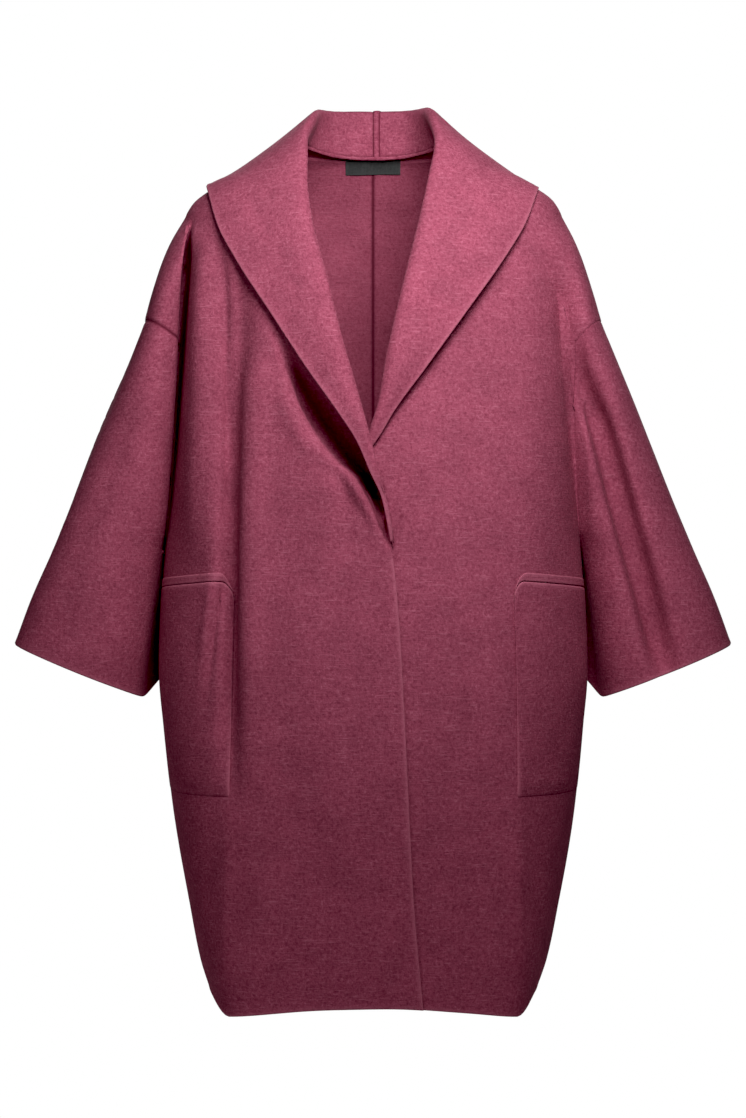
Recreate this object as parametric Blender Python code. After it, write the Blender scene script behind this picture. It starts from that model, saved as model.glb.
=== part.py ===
"""A knee-length cocoon coat of thick double-faced wool, in the hollow form it takes when worn.

Metres, +Z up. The front faces -Y and the wearer's left is +X. The origin lies between the shoulders,
at the base of the neck, where the wearer carries the coat.
"""

from collections import namedtuple

import bpy
import numpy as np

# Cloth and seams
CLOTH = 0.0024
SEAM = 0.0003
ARMHOLE_SEAM = 0.0008

# Wearer's sides: the right front laps over the left one
RIGHT, LEFT = -1, 1
OVER, UNDER = RIGHT, LEFT
FRONT, BACK = -1, 1

# Heights of the cut's main points
NECK_POINT = 0.0235
BACK_NECK = 0.016
SHOULDER_END = -0.185
ARMHOLE_IN_VALLEY = -0.2124
UNDERARM = -0.455
HEM = -0.975
# The hem hangs lower towards the corners than at the front edge and the centre back, and rises
# again to the side seams
HEM_DROP, HEM_DROP_AT, HEM_DROP_START = 0.012, 0.165, -0.800
HEM_SIDE_RISE = 0.020

# Torso sections, from the neck to the hem: half width, depth in front of and behind the side
# seams, and how square the front and the back are (2 is an ellipse)
BodySection = namedtuple("BodySection", "height half_width front back square back_square")
BODY = [
    BodySection(0.0240, 0.0840, 0.030, 0.050, 2.0, 2.0),
    BodySection(0.0160, 0.0980, 0.045, 0.070, 2.0, 2.0),
    BodySection(0.0000, 0.1300, 0.060, 0.082, 2.1, 2.0),
    BodySection(-0.0320, 0.1980, 0.080, 0.098, 2.2, 2.1),
    BodySection(-0.0450, 0.2140, 0.088, 0.104, 2.3, 2.2),
    BodySection(-0.0650, 0.2240, 0.097, 0.111, 2.4, 2.3),
    BodySection(-0.1000, 0.2275, 0.111, 0.121, 2.4, 2.4),
    BodySection(-0.1600, 0.2290, 0.127, 0.135, 2.4, 2.4),
    BodySection(-0.2100, 0.2305, 0.137, 0.147, 2.4, 2.4),
    BodySection(-0.2800, 0.2345, 0.147, 0.160, 2.4, 2.4),
    BodySection(-0.4000, 0.2415, 0.160, 0.177, 2.5, 2.4),
    BodySection(-0.4600, 0.2450, 0.165, 0.184, 2.5, 2.4),
    BodySection(-0.5200, 0.2500, 0.169, 0.190, 2.6, 2.4),
    BodySection(-0.6000, 0.2535, 0.172, 0.194, 2.7, 2.4),
    BodySection(-0.6600, 0.2492, 0.172, 0.194, 2.8, 2.5),
    BodySection(-0.7500, 0.2385, 0.168, 0.187, 3.2, 2.6),
    BodySection(-0.8670, 0.2178, 0.157, 0.170, 4.6, 3.0),
    BodySection(-0.9400, 0.2035, 0.149, 0.157, 6.5, 3.4),
    BodySection(-0.9750, 0.1920, 0.145, 0.150, 8.0, 3.6),
]

# Sleeve sections, level cuts from the dropped shoulder to below the cuff
ArmSection = namedtuple("ArmSection", "height outer inner depth")
ARM = [
    ArmSection(-0.0650, 0.2250, 0.1000, 0.050),
    ArmSection(-0.0885, 0.2380, 0.1550, 0.056),
    ArmSection(-0.1120, 0.2480, 0.1830, 0.059),
    ArmSection(-0.1360, 0.2560, 0.2010, 0.061),
    ArmSection(-0.1590, 0.2630, 0.2120, 0.062),
    ArmSection(-0.1850, 0.2705, 0.2185, 0.063),
    ArmSection(-0.2124, 0.2814, 0.2235, 0.064),
    ArmSection(-0.2770, 0.3074, 0.2312, 0.066),
    ArmSection(-0.3360, 0.3304, 0.2362, 0.068),
    ArmSection(-0.3950, 0.3534, 0.2408, 0.069),
    ArmSection(-0.4550, 0.3780, 0.2452, 0.070),
    ArmSection(-0.5130, 0.4030, 0.2543, 0.070),
    ArmSection(-0.5610, 0.4210, 0.2600, 0.070),
    ArmSection(-0.6400, 0.4520, 0.2690, 0.069),
]
# How softly the cloth bridges the valley between body and sleeve, on each side of the wearer
VALLEY_SOFTNESS = {RIGHT: 0.012, LEFT: 0.034}
VALLEY_START, VALLEY_FULL, VALLEY_CLOSING = -0.07, -0.17, -0.25
# Depths read past the body's half width (a slope) and past the sleeve (a low value)
OUTSIDE_SLOPE = 4.0
NO_SLEEVE = -1.0
# Depth of cloth over which a fold comes in, so that seams at the silhouette still meet
FOLD_SETTLED = 0.03

# The cuff is a plane square to the sleeve: its height at the body side, and its rise outwards
CUFF_INNER_HALF_WIDTH = 0.267
CUFF_INNER_HEIGHT = -0.628
CUFF_RISE = 0.405

# Heights of the rows of cloth down the panels
ROWS = [
    0.0235, 0.0210, 0.0185, 0.0168, 0.0160, 0.0030, -0.0150, -0.0340, -0.0540, -0.0780,
    -0.1020, -0.1270, -0.1530, -0.1720, -0.1850, -0.1890, -0.1960, -0.2040, -0.2124,
    -0.2400, -0.2700, -0.3000, -0.3290, -0.3600, -0.4050, -0.4550, -0.5060, -0.5560,
    -0.6030, -0.6500, -0.6950, -0.7350, -0.7850, -0.8350, -0.8850, -0.9330, -0.9750,
]
NECK_ROWS_ALONG_BACK_ONLY = (0.0210, 0.0185, 0.0168)
FRONT_COLUMNS = 7
SIDE_COLUMNS = 7
BACK_COLUMNS = 10
SLEEVE_ROWS = 10
# Length of cloth that the side seams' gap is taken from
SEAM_TRIM_LENGTH = 0.12
# Least share of a row between the inner edge and the turn, where the neck is narrow
TURN_LEAST_SHARE = 0.2

# The line down each front where the cloth turns to the side: above it is a trough, then the
# pocket's inner edge, then a ridge that runs to the hem
TurnLine = namedtuple("TurnLine", "height half_width")
TURN_LINE = [
    TurnLine(0.0240, 0.0820), TurnLine(0.0000, 0.1050), TurnLine(-0.0400, 0.1350),
    TurnLine(-0.1000, 0.1490), TurnLine(-0.2000, 0.1540), TurnLine(-0.4000, 0.1570),
    TurnLine(-0.6000, 0.1610), TurnLine(-0.7350, 0.1630), TurnLine(-0.8500, 0.1670),
    TurnLine(-0.9750, 0.1750),
]

# Necklines and front edges: half width of each front's inner edge, negative past the centre
InnerEdge = namedtuple("InnerEdge", "height half_width")
INNER_EDGE = {
    OVER: [
        InnerEdge(0.0240, 0.0790), InnerEdge(0.0050, 0.0870), InnerEdge(-0.0390, 0.0860),
        InnerEdge(-0.0740, 0.0800), InnerEdge(-0.1450, 0.0615), InnerEdge(-0.2340, 0.0390),
        InnerEdge(-0.2910, 0.0210), InnerEdge(-0.3280, 0.0100), InnerEdge(-0.3730, -0.0040),
        InnerEdge(-0.4210, -0.0160), InnerEdge(-0.5100, -0.0275), InnerEdge(-0.6400, -0.0355),
        InnerEdge(-0.7350, -0.0400), InnerEdge(-0.8500, -0.0460), InnerEdge(-0.9750, -0.0570),
    ],
    UNDER: [
        InnerEdge(0.0240, 0.0790), InnerEdge(0.0050, 0.0830), InnerEdge(-0.0390, 0.0730),
        InnerEdge(-0.0740, 0.0650), InnerEdge(-0.1450, 0.0480), InnerEdge(-0.2340, 0.0265),
        InnerEdge(-0.2910, 0.0135), InnerEdge(-0.3280, 0.0015), InnerEdge(-0.3500, -0.0070),
        InnerEdge(-0.4210, -0.0180), InnerEdge(-0.5100, -0.0290), InnerEdge(-0.6400, -0.0365),
        InnerEdge(-0.7350, -0.0405), InnerEdge(-0.8500, -0.0460), InnerEdge(-0.9750, -0.0570),
    ],
}
BACK_NECK_HALF_WIDTH = 0.0790
BACK_NECK_CURVE = 2.4

# How far the over front stands off the under one along the lap
Lap = namedtuple("Lap", "height lift")
LAP = [
    Lap(0.0240, 0.0), Lap(-0.2000, 0.0), Lap(-0.3100, 0.0120), Lap(-0.4200, 0.0110),
    Lap(-0.6000, 0.0055), Lap(-0.9750, 0.0040),
]
LAP_FULL_AT, LAP_GONE_AT = 0.035, 0.120

# Largest folds: a line on one face of one side, sunk (negative) or raised along Y. Half width is
# the fold's own, and ease is the length over which it comes in and dies away.
Fold = namedtuple("Fold", "face side top_x top_z foot_x foot_z depth half_width ease")
FOLDS = [
    Fold(FRONT, RIGHT, 0.1490, -0.060, 0.1630, -0.770, -0.016, 0.015, 0.200),
    Fold(FRONT, RIGHT, 0.1000, -0.215, 0.0240, -0.390, -0.018, 0.022, 0.060),
    Fold(FRONT, RIGHT, 0.1620, -0.690, 0.1740, -0.985, 0.004, 0.011, 0.110),
    Fold(FRONT, LEFT, 0.1620, -0.690, 0.1740, -0.985, 0.005, 0.011, 0.110),
    Fold(FRONT, LEFT, 0.2360, -0.215, 0.3520, -0.645, -0.026, 0.016, 0.090),
    Fold(BACK, RIGHT, 0.1250, -0.180, 0.1350, -0.760, -0.009, 0.026, 0.180),
    Fold(BACK, LEFT, 0.1400, -0.150, 0.1280, -0.700, -0.008, 0.024, 0.180),
    Fold(BACK, RIGHT, 0.2700, -0.230, 0.3400, -0.620, -0.014, 0.018, 0.110),
    Fold(BACK, LEFT, 0.2640, -0.230, 0.3260, -0.630, -0.016, 0.017, 0.110),
]

# Shawl collar: stations from the centre back to the tip of the lapel. Way is the length along the
# neckline from the back of the neck point, negative round the back. The roll is the folded edge
# round the neck and the edge is the collar's free one. A point with a lift lies that far off the
# front's own curve, and its y is not used. Sag is how far the fall sinks at its middle.
Station = namedtuple("Station", "way roll_x roll_y roll_z roll_lift edge_x edge_y edge_z edge_lift sag")
NECK_STATIONS = [
    Station(-0.079, 0.0000, 0.086, 0.0725, None, 0.0000, 0.118, -0.0620, None, 0.0),
    Station(-0.040, 0.0420, 0.073, 0.0720, None, 0.0850, 0.112, -0.0590, None, 0.0),
    Station(-0.008, 0.0630, 0.040, 0.0700, None, 0.1600, 0.080, -0.0370, None, 0.004),
    Station(0.002, 0.0670, 0.024, 0.0670, None, 0.1840, 0.042, -0.0270, None, 0.009),
    Station(0.012, 0.0700, 0.003, 0.0610, None, 0.1970, 0.006, -0.0255, None, 0.013),
]
COLLAR = {
    OVER: NECK_STATIONS + [
        Station(0.040, 0.0810, -0.044, 0.0270, None, 0.1930, -0.036, -0.0400, None, 0.008),
        Station(0.083, 0.0810, 0.0, -0.0200, 0.012, 0.1790, 0.0, -0.0810, 0.009, 0.0),
        Station(0.120, 0.0755, 0.0, -0.0660, 0.012, 0.1560, 0.0, -0.1240, 0.008, 0.0),
        Station(0.190, 0.0560, 0.0, -0.1430, 0.013, 0.1180, 0.0, -0.1830, 0.009, 0.0),
        Station(0.280, 0.0335, 0.0, -0.2330, 0.014, 0.0720, 0.0, -0.2540, 0.011, 0.0),
        Station(0.337, 0.0160, 0.0, -0.2900, 0.013, 0.0390, 0.0, -0.3010, 0.012, 0.0),
        Station(0.374, 0.0050, 0.0, -0.3270, 0.013, 0.0190, 0.0, -0.3320, 0.013, 0.0),
        Station(0.417, -0.0060, 0.0, -0.3700, 0.010, 0.0000, 0.0, -0.3720, 0.010, 0.0),
        Station(0.462, -0.0155, 0.0, -0.4170, 0.005, -0.0120, 0.0, -0.4175, 0.005, 0.0),
    ],
    UNDER: NECK_STATIONS + [
        Station(0.040, 0.0770, -0.044, 0.0270, None, 0.1920, -0.036, -0.0400, None, 0.008),
        Station(0.083, 0.0700, 0.0, -0.0200, 0.012, 0.1760, 0.0, -0.0780, 0.009, 0.0),
        Station(0.120, 0.0606, 0.0, -0.0660, 0.012, 0.1500, 0.0, -0.1210, 0.008, 0.0),
        Station(0.190, 0.0425, 0.0, -0.1430, 0.012, 0.1090, 0.0, -0.1800, 0.008, 0.0),
        Station(0.280, 0.0210, 0.0, -0.2330, 0.012, 0.0590, 0.0, -0.2500, 0.008, 0.0),
        Station(0.337, 0.0085, 0.0, -0.2900, 0.010, 0.0240, 0.0, -0.2980, 0.007, 0.0),
        Station(0.366, -0.0014, 0.0, -0.3220, 0.007, 0.0070, 0.0, -0.3235, 0.0055, 0.0),
        Station(0.378, -0.0050, 0.0, -0.3340, 0.006, -0.0015, 0.0, -0.3345, 0.005, 0.0),
    ],
}
SHOULDER_WAY = 0.021
TIP_SPACING = 0.008
ROLL_ROUNDNESS = 0.030
ROLL_REACH_SHARE = 0.8
STAND_PULL, FALL_PULL, FALL_END_PULL = 1.1, 1.6, 0.9
FALL_SPACING = 1.25
COLLAR_CLEARANCE = 0.0065
COLLAR_LAID_FROM = 0.2
COLLAR_LAID_SOFTNESS = 0.006
UNLAID_CLEARANCE = -0.05
STAND_ROWS = 4
FALL_ROWS = 7

# Patch pockets, let into the side seams: the mouth slopes down to the side and its inner corner
# is rounded off
POCKET_BOTTOM = -0.735
POCKET_TOP = -0.490
POCKET_FIRST_ROW = -0.530
POCKET_SIDE_DROP = 0.010
POCKET_CORNER_DROP = 0.032
POCKET_CORNER_SHARE = 0.20
POCKET_CORNER_CURVE = 1.6
POCKET_SIDE_SHARE = 0.97
POCKET_CLOTH = 0.0022
POCKET_GAP = 0.0008
WELT_HEIGHT = 0.010
WELT_CORNER_HEIGHT = 0.015
WELT_CLOTH = 0.0016
MOUTH_GAP = 0.0012

# Plain woven label inside the back neck
LABEL_WIDTH = 0.066
LABEL_HEIGHT = 0.016
LABEL_CLOTH = 0.0008
LABEL_TOP = 0.0135
LABEL_GAP = 0.0016
LABEL_COLUMNS = 8

WOOL_COLOUR, WOOL_ROUGHNESS = (0.300, 0.066, 0.110, 1.0), 0.95
TAPE_COLOUR, TAPE_ROUGHNESS = (0.010, 0.010, 0.011, 1.0), 0.6

ARC_SAMPLES = 72
HALVINGS = 40
CUFF_PASSES = 12
STEP = 1e-4
LEAST = 1e-6
SHARP_ANGLE = 1.1


def smooth_line(heights, values, at):
    """Reads a table smoothly, with no overshoot between its rows."""
    order = np.argsort(heights)
    x, y = np.asarray(heights, float)[order], np.asarray(values, float)[order]
    run, rise = np.diff(x), np.diff(y)
    slope = rise / run
    tangent = np.zeros_like(x)
    tangent[0], tangent[-1] = slope[0], slope[-1]
    same_way = slope[:-1] * slope[1:] > 0
    w1, w2 = 2 * run[1:] + run[:-1], run[1:] + 2 * run[:-1]
    safe_before = np.where(same_way, slope[:-1], 1.0)
    safe_after = np.where(same_way, slope[1:], 1.0)
    tangent[1:-1] = np.where(same_way, (w1 + w2) / (w1 / safe_before + w2 / safe_after), 0.0)
    at = np.clip(np.asarray(at, float), x[0], x[-1])
    k = np.clip(np.searchsorted(x, at) - 1, 0, len(run) - 1)
    t = (at - x[k]) / run[k]
    start = (1 + 2 * t) * (1 - t) ** 2 * y[k] + t * (1 - t) ** 2 * run[k] * tangent[k]
    end = t**2 * (3 - 2 * t) * y[k + 1] + t**2 * (t - 1) * run[k] * tangent[k + 1]
    return start + end


def read(table, field, at, key="height"):
    """One column of a table, read at any height."""
    return smooth_line([getattr(row, key) for row in table], [getattr(row, field) for row in table], at)


def ease(value, start, full):
    """A soft ramp, 0 at start and 1 at full."""
    t = np.clip((np.asarray(value, float) - start) / (full - start), 0.0, 1.0)
    return t * t * (3 - 2 * t)


def soft_max(a, b, soft):
    """The larger of two depths, rounded where they cross."""
    return np.maximum(a, b) + np.clip(soft - np.abs(a - b), 0, None) ** 2 / (4 * soft)


def torso_depth(half, z, face):
    """Depth of the body's cloth from the side seams' plane, negative past its half width."""
    width = read(BODY, "half_width", z)
    depth = read(BODY, "front" if face == FRONT else "back", z)
    square = read(BODY, "square" if face == FRONT else "back_square", z)
    inside = depth * np.sqrt(np.clip(1 - (np.abs(half) / width) ** square, 0, 1))
    return np.where(half < width, inside, OUTSIDE_SLOPE * (width - half))


def sleeve_depth(half, z):
    """Depth of the sleeve's cloth from the same plane, at a level cut."""
    outer, inner = read(ARM, "outer", z), read(ARM, "inner", z)
    middle, reach = (outer + inner) / 2, (outer - inner) / 2
    inside = 1 - ((half - middle) / reach) ** 2
    return np.where(inside > 0, read(ARM, "depth", z) * np.sqrt(np.clip(inside, 0, 1)), NO_SLEEVE)


def fold_depth(half, z, face, side):
    """What the large folds add to the depth."""
    total = np.zeros(np.broadcast(half, z).shape)
    for fold in FOLDS:
        if (fold.face, fold.side) != (face, side):
            continue
        along = (fold.top_z - z) / (fold.top_z - fold.foot_z)
        line = fold.top_x + (fold.foot_x - fold.top_x) * along
        length = fold.top_z - fold.foot_z
        fade = ease(along * length, 0, fold.ease) * ease((1 - along) * length, 0, fold.ease)
        total = total + fold.depth * fade * np.exp(-(((half - line) / fold.half_width) ** 2))
    return total


def coat_depth(half, z, face, side):
    """Depth of the coat's cloth where body and sleeve are one, above the underarm."""
    body, arm = torso_depth(half, z, face), sleeve_depth(half, z)
    soft = VALLEY_SOFTNESS[side] * ease(z, VALLEY_START, VALLEY_FULL) * ease(z, UNDERARM, VALLEY_CLOSING)
    bridged = soft_max(body, arm, np.maximum(soft, LEAST))
    joined = np.where((z < VALLEY_START) & (z > UNDERARM), bridged, body)
    return np.maximum(joined, 0) + ease(joined, 0, FOLD_SETTLED) * fold_depth(half, z, face, side)


def arm_depth(half, z, face, side):
    """Depth of the sleeve's cloth, above and below the underarm."""
    alone = np.maximum(sleeve_depth(half, z), 0)
    with_folds = alone + ease(alone, 0, FOLD_SETTLED) * fold_depth(half, z, face, side)
    return np.where(z > UNDERARM, coat_depth(half, z, face, side), with_folds)


def valley(z, face):
    """Half width at which the body's cloth meets the sleeve's, between shoulder and underarm."""
    low, high = read(ARM, "inner", z), read(BODY, "half_width", z)
    high = np.maximum(high, low)
    for _ in range(HALVINGS):
        middle = (low + high) / 2
        inside = torso_depth(middle, z, face) > sleeve_depth(middle, z)
        low, high = np.where(inside, middle, low), np.where(inside, high, middle)
    return (low + high) / 2


def outer_edge(z, face):
    """Half width of the panels' outer edge: shoulder seam, armhole, then side seam."""
    width = read(BODY, "half_width", z)
    shoulder = np.maximum(width, np.where(z < ARM[0].height, read(ARM, "outer", z), 0))
    down = (SHOULDER_END - z) / (SHOULDER_END - ARMHOLE_IN_VALLEY)
    end, start = float(valley(ARMHOLE_IN_VALLEY, face)), float(read(ARM, "outer", SHOULDER_END))
    over_arm = start + (end - start) * np.clip(down, 0, 1)
    in_valley = np.where(z >= ARMHOLE_IN_VALLEY, over_arm, valley(z, face))
    edge = np.where(z >= SHOULDER_END, shoulder, in_valley)
    return np.where(z > UNDERARM, edge, width)


def inner_edge(z, face, side):
    """Half width of the panels' inner edge: neckline, then front edge or centre back."""
    if face == FRONT:
        return read(INNER_EDGE[side], "half_width", z)
    rise = np.clip((z - BACK_NECK) / (NECK_POINT - BACK_NECK), 0, 1)
    return np.maximum(SEAM / 2, BACK_NECK_HALF_WIDTH * rise ** (1 / BACK_NECK_CURVE))


def lap_lift(half, z, face, side):
    """How far the over front is moved out where it laps the under one."""
    if (face, side) != (FRONT, OVER):
        return np.zeros(np.broadcast(half, z).shape)
    return read(LAP, "lift", z) * ease(half, LAP_GONE_AT, LAP_FULL_AT)


def stretch_points(start, end, z, share, face, side, dense_end):
    """Points at shares of the way, by length of cloth, along level sections from start to end."""
    t = np.linspace(0, 1, ARC_SAMPLES)
    spread = np.sin(t * np.pi / 2) if dense_end else t
    half = start[:, None] + (end - start)[:, None] * spread[None, :]
    height = np.repeat(z[:, None], ARC_SAMPLES, axis=1)
    depth = coat_depth(half, height, face, side) + lap_lift(half, height, face, side)
    length = np.cumsum(np.hypot(np.diff(half, axis=1), np.diff(depth, axis=1)), axis=1)
    length = np.hstack([np.zeros((len(z), 1)), length])
    wanted = share * length[:, -1]
    k = np.clip((length < wanted[:, None]).sum(axis=1) - 1, 0, ARC_SAMPLES - 2)
    rows = np.arange(len(z))
    step = (wanted - length[rows, k]) / np.maximum(length[rows, k + 1] - length[rows, k], LEAST**2)
    at = half[rows, k] + step * (half[rows, k + 1] - half[rows, k])
    deep = depth[rows, k] + step * (depth[rows, k + 1] - depth[rows, k])
    return np.stack([side * at, face * deep, z - hem_drop(np.abs(at), z)], axis=1)


def hem_drop(half, z):
    """How far the cloth near the hem hangs below its level row."""
    corner = HEM_DROP * np.clip(half / HEM_DROP_AT, 0, 1) ** 2
    side_rise = HEM_SIDE_RISE * ease(half, HEM_DROP_AT, BODY[-1].half_width)
    return (corner - side_rise) * ease(z, HEM_DROP_START, HEM)


def panel_points(u, z, face, side):
    """Points of a front or back: u runs from 0 at the inner edge to 1 at the outer seam."""
    shape = u.shape
    u, z = u.ravel(), z.ravel()
    inner, outer = inner_edge(z, face, side), outer_edge(z, face)
    in_armhole = (z < SHOULDER_END) & (z > UNDERARM)
    outer = outer - np.where(in_armhole, ARMHOLE_SEAM, 0)
    trim = 1 - np.where(in_armhole, 0, SEAM / 2) / SEAM_TRIM_LENGTH
    if face == BACK:
        points = stretch_points(inner, outer, z, u * trim, face, side, True)
    else:
        least = inner + TURN_LEAST_SHARE * (outer - inner)
        turn = np.clip(read(TURN_LINE, "half_width", z), least, outer)
        turn_u = FRONT_COLUMNS / (FRONT_COLUMNS + SIDE_COLUMNS)
        past_turn = np.clip((u - turn_u) / (1 - turn_u), 0, 1) * trim
        near = stretch_points(inner, turn, z, np.clip(u / turn_u, 0, 1), face, side, False)
        far = stretch_points(turn, outer, z, past_turn, face, side, True)
        points = np.where((u <= turn_u)[:, None], near, far)
    return points.reshape(*shape, 3)


def panel_frame(u, z, face, side):
    """Points of a panel and its outward normals."""
    points = panel_points(u, z, face, side)
    across = panel_points(np.minimum(u + STEP, 1), z, face, side)
    across = across - panel_points(np.maximum(u - STEP, 0), z, face, side)
    down = panel_points(u, np.maximum(z - STEP, HEM), face, side)
    down = down - panel_points(u, np.minimum(z + STEP, NECK_POINT), face, side)
    return points, outward(np.cross(across, down), -face * side)


def outward(crossed, sign):
    """Unit normals from crossed tangents, with the sign that points out of the coat."""
    size = np.linalg.norm(crossed, axis=-1, keepdims=True)
    return -sign * crossed / np.maximum(size, STEP**3)


def panel_grid(face):
    """The shares across and the heights of a panel's net of points."""
    columns = BACK_COLUMNS if face == BACK else FRONT_COLUMNS + SIDE_COLUMNS
    u = np.linspace(0, 1, columns + 1)
    return np.meshgrid(u, ROWS)


def wall_mesh(name, outer, inner, material, ring=False):
    """A closed wall of cloth between two nets of points; a ring joins its last column to its first."""
    rows, columns = outer.shape[:2]
    turned = np.cross(outer[1:, :-1] - outer[:-1, :-1], outer[:-1, 1:] - outer[:-1, :-1])
    flip = (turned * (outer - inner)[:-1, :-1]).sum() > 0
    count = rows * columns
    spans = columns if ring else columns - 1
    faces = []
    for r in range(rows - 1):
        for c in range(spans):
            a, b = r * columns + c, r * columns + (c + 1) % columns
            for corner in ((a, b, b + columns), (a, b + columns, a + columns)):
                faces += [corner, tuple(count + v for v in reversed(corner))]
    for r in (0, rows - 1):
        for c in range(spans):
            a, b = r * columns + c, r * columns + (c + 1) % columns
            rim = (a, a + count, b + count, b)
            faces.append(rim if r == 0 else rim[::-1])
    if not ring:
        for c in (0, columns - 1):
            for r in range(rows - 1):
                a, b = r * columns + c, (r + 1) * columns + c
                rim = (a, b, b + count, a + count)
                faces.append(rim if c == 0 else rim[::-1])
    if flip:
        faces = [face[::-1] for face in faces]
    mesh = bpy.data.meshes.new(name)
    mesh.from_pydata(np.vstack([outer.reshape(-1, 3), inner.reshape(-1, 3)]).tolist(), [], faces)
    mesh.materials.append(material)
    mesh.shade_smooth()
    mesh.set_sharp_from_angle(angle=SHARP_ANGLE)
    piece = bpy.data.objects.new(name, mesh)
    bpy.data.collections["cocoon_coat"].objects.link(piece)
    return piece


def side_name(side):
    """The word for a side in the pieces' names."""
    return "right" if side == RIGHT else "left"


def make_panel(face, side, wool):
    """One front or one half of the back, from the shoulder seam to the hem."""
    points, normals = panel_frame(*panel_grid(face), face, side)
    name = ("front_" if face == FRONT else "back_") + side_name(side)
    return wall_mesh(name, points, points - CLOTH * normals, wool)


def armhole_heights():
    """Heights of the panels' rows from the shoulder end down to the underarm."""
    return [z for z in ROWS if UNDERARM - STEP <= z <= SHOULDER_END + STEP]


def sleeve_points(turn, z, side):
    """Points of a sleeve: turn is 0 along the top, 1 under the arm in front and -1 behind."""
    outer, inner = read(ARM, "outer", z), read(ARM, "inner", z)
    half = (outer + inner) / 2 + (outer - inner) / 2 * np.cos(np.pi * np.abs(turn))
    front = arm_depth(half, z, FRONT, side)
    back = arm_depth(half, z, BACK, side)
    return np.stack([side * half, np.where(turn >= 0, FRONT * front, BACK * back), z], axis=-1)


def armhole_turns(heights, face):
    """Turns of the sleeve's sewn edge at heights down one face, and their shares of its length."""
    outer, inner = read(ARM, "outer", heights), read(ARM, "inner", heights)
    start = outer_edge(heights + SEAM / 2, face) + ARMHOLE_SEAM
    cosine = np.clip((start - (outer + inner) / 2) / ((outer - inner) / 2), -1, 1)
    turn = np.arccos(cosine) / np.pi
    turn[0], turn[-1] = 0.0, 1.0
    edge = sleeve_points(turn, heights, LEFT)
    length = np.concatenate([[0], np.cumsum(np.linalg.norm(np.diff(edge, axis=0), axis=1))])
    return turn, length / length[-1]


def sleeve_grid():
    """Turns and heights of a sleeve's net: columns run round from under the arm, rows to the cuff."""
    heights = np.array(armhole_heights())
    heights[0] -= SEAM
    heights[-1] -= 2 * SEAM
    front, front_cuff = armhole_turns(heights, FRONT)
    back, back_cuff = armhole_turns(heights, BACK)
    ring_turn = np.concatenate([front[::-1], -back[1:-1]])
    ring_cuff = np.concatenate([front_cuff[::-1], -back_cuff[1:-1]])
    ring_height = np.concatenate([heights[::-1], heights[1:-1]])
    return ring_turn, ring_cuff, ring_height


def cuff_height(turn):
    """Height of the cuff's plane at a turn round the sleeve."""
    z = np.full_like(turn, CUFF_INNER_HEIGHT)
    for _ in range(CUFF_PASSES):
        outer, inner = read(ARM, "outer", z), read(ARM, "inner", z)
        half = (outer + inner) / 2 + (outer - inner) / 2 * np.cos(np.pi * np.abs(turn))
        z = CUFF_INNER_HEIGHT + CUFF_RISE * (half - CUFF_INNER_HALF_WIDTH)
    return z


def turned_by(turn, step):
    """A turn moved round the sleeve, which closes on itself under the arm."""
    return (turn + step + 1) % 2 - 1


def make_sleeve(side, wool):
    """A wide sleeve set into the dropped armhole, one tube with its seam under the arm."""
    ring_turn, ring_cuff, ring_height = sleeve_grid()
    t = np.linspace(0, 1, SLEEVE_ROWS + 1)[:, None]
    turn = ring_turn + (ring_cuff - ring_turn) * ease(t, 0, 1)
    z = ring_height + (cuff_height(ring_cuff) - ring_height) * t
    points = sleeve_points(turn, z, side)
    across = sleeve_points(turned_by(turn, STEP), z, side)
    across = across - sleeve_points(turned_by(turn, -STEP), z, side)
    down = sleeve_points(turn, z - STEP, side) - sleeve_points(turn, z + STEP, side)
    normals = outward(np.cross(across, down), -side)
    return wall_mesh("sleeve_" + side_name(side), points, points - CLOTH * normals, wool, ring=True)


def neck_line(side):
    """The collar's sewn edge, from the centre back to the tip: points, and their ways along it."""
    tip = COLLAR[side][-1].way
    points, ways = [], []
    for height in reversed([z for z in ROWS if z >= BACK_NECK]):
        half = float(inner_edge(np.array(height), BACK, side))
        depth = float(torso_depth(half, np.array(height), BACK))
        points.append((half, depth - CLOTH, height + SEAM))
        ways.append(half - BACK_NECK_HALF_WIDTH)
    drops = [NECK_POINT - z for z in ROWS if z not in NECK_ROWS_ALONG_BACK_ONLY]
    drops = [drop for drop in drops if SHOULDER_WAY + drop < tip - TIP_SPACING] + [tip - SHOULDER_WAY]
    for drop in drops:
        z = np.array(NECK_POINT - drop)
        edge = inner_edge(z, FRONT, side)
        depth = torso_depth(np.abs(edge), z, FRONT) + lap_lift(edge, z, FRONT, side)
        points.append((float(edge) - CLOTH - SEAM, -float(depth), float(z)))
        ways.append(SHOULDER_WAY + drop)
    return np.array(points), np.array(ways)


def collar_line(side, part, ways):
    """The roll or the free edge of the collar at ways along the neckline."""
    rows = COLLAR[side]
    x, y, z = (np.array([getattr(row, part + axis) for row in rows]) for axis in ("_x", "_y", "_z"))
    for i, row in enumerate(rows):
        lift = getattr(row, part + "_lift")
        if lift is not None:
            lap = lap_lift(x[i], z[i], FRONT, side)
            y[i] = -(torso_depth(np.abs(x[i]), z[i], FRONT) + lap + lift)
    way = [row.way for row in rows]
    return np.stack([smooth_line(way, axis, ways) for axis in (x, y, z)], axis=1)


def hermite(start, start_pull, end, end_pull, t):
    """Points of a curve that leaves and arrives with the given pulls."""
    t = t[:, None, None]
    leave = (1 + 2 * t) * (1 - t) ** 2 * start + t * (1 - t) ** 2 * start_pull
    return leave + t**2 * (3 - 2 * t) * end + t**2 * (t - 1) * end_pull


def unit(vectors):
    """Vectors brought to length 1."""
    return vectors / np.maximum(np.linalg.norm(vectors, axis=-1, keepdims=True), LEAST**2)


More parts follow.
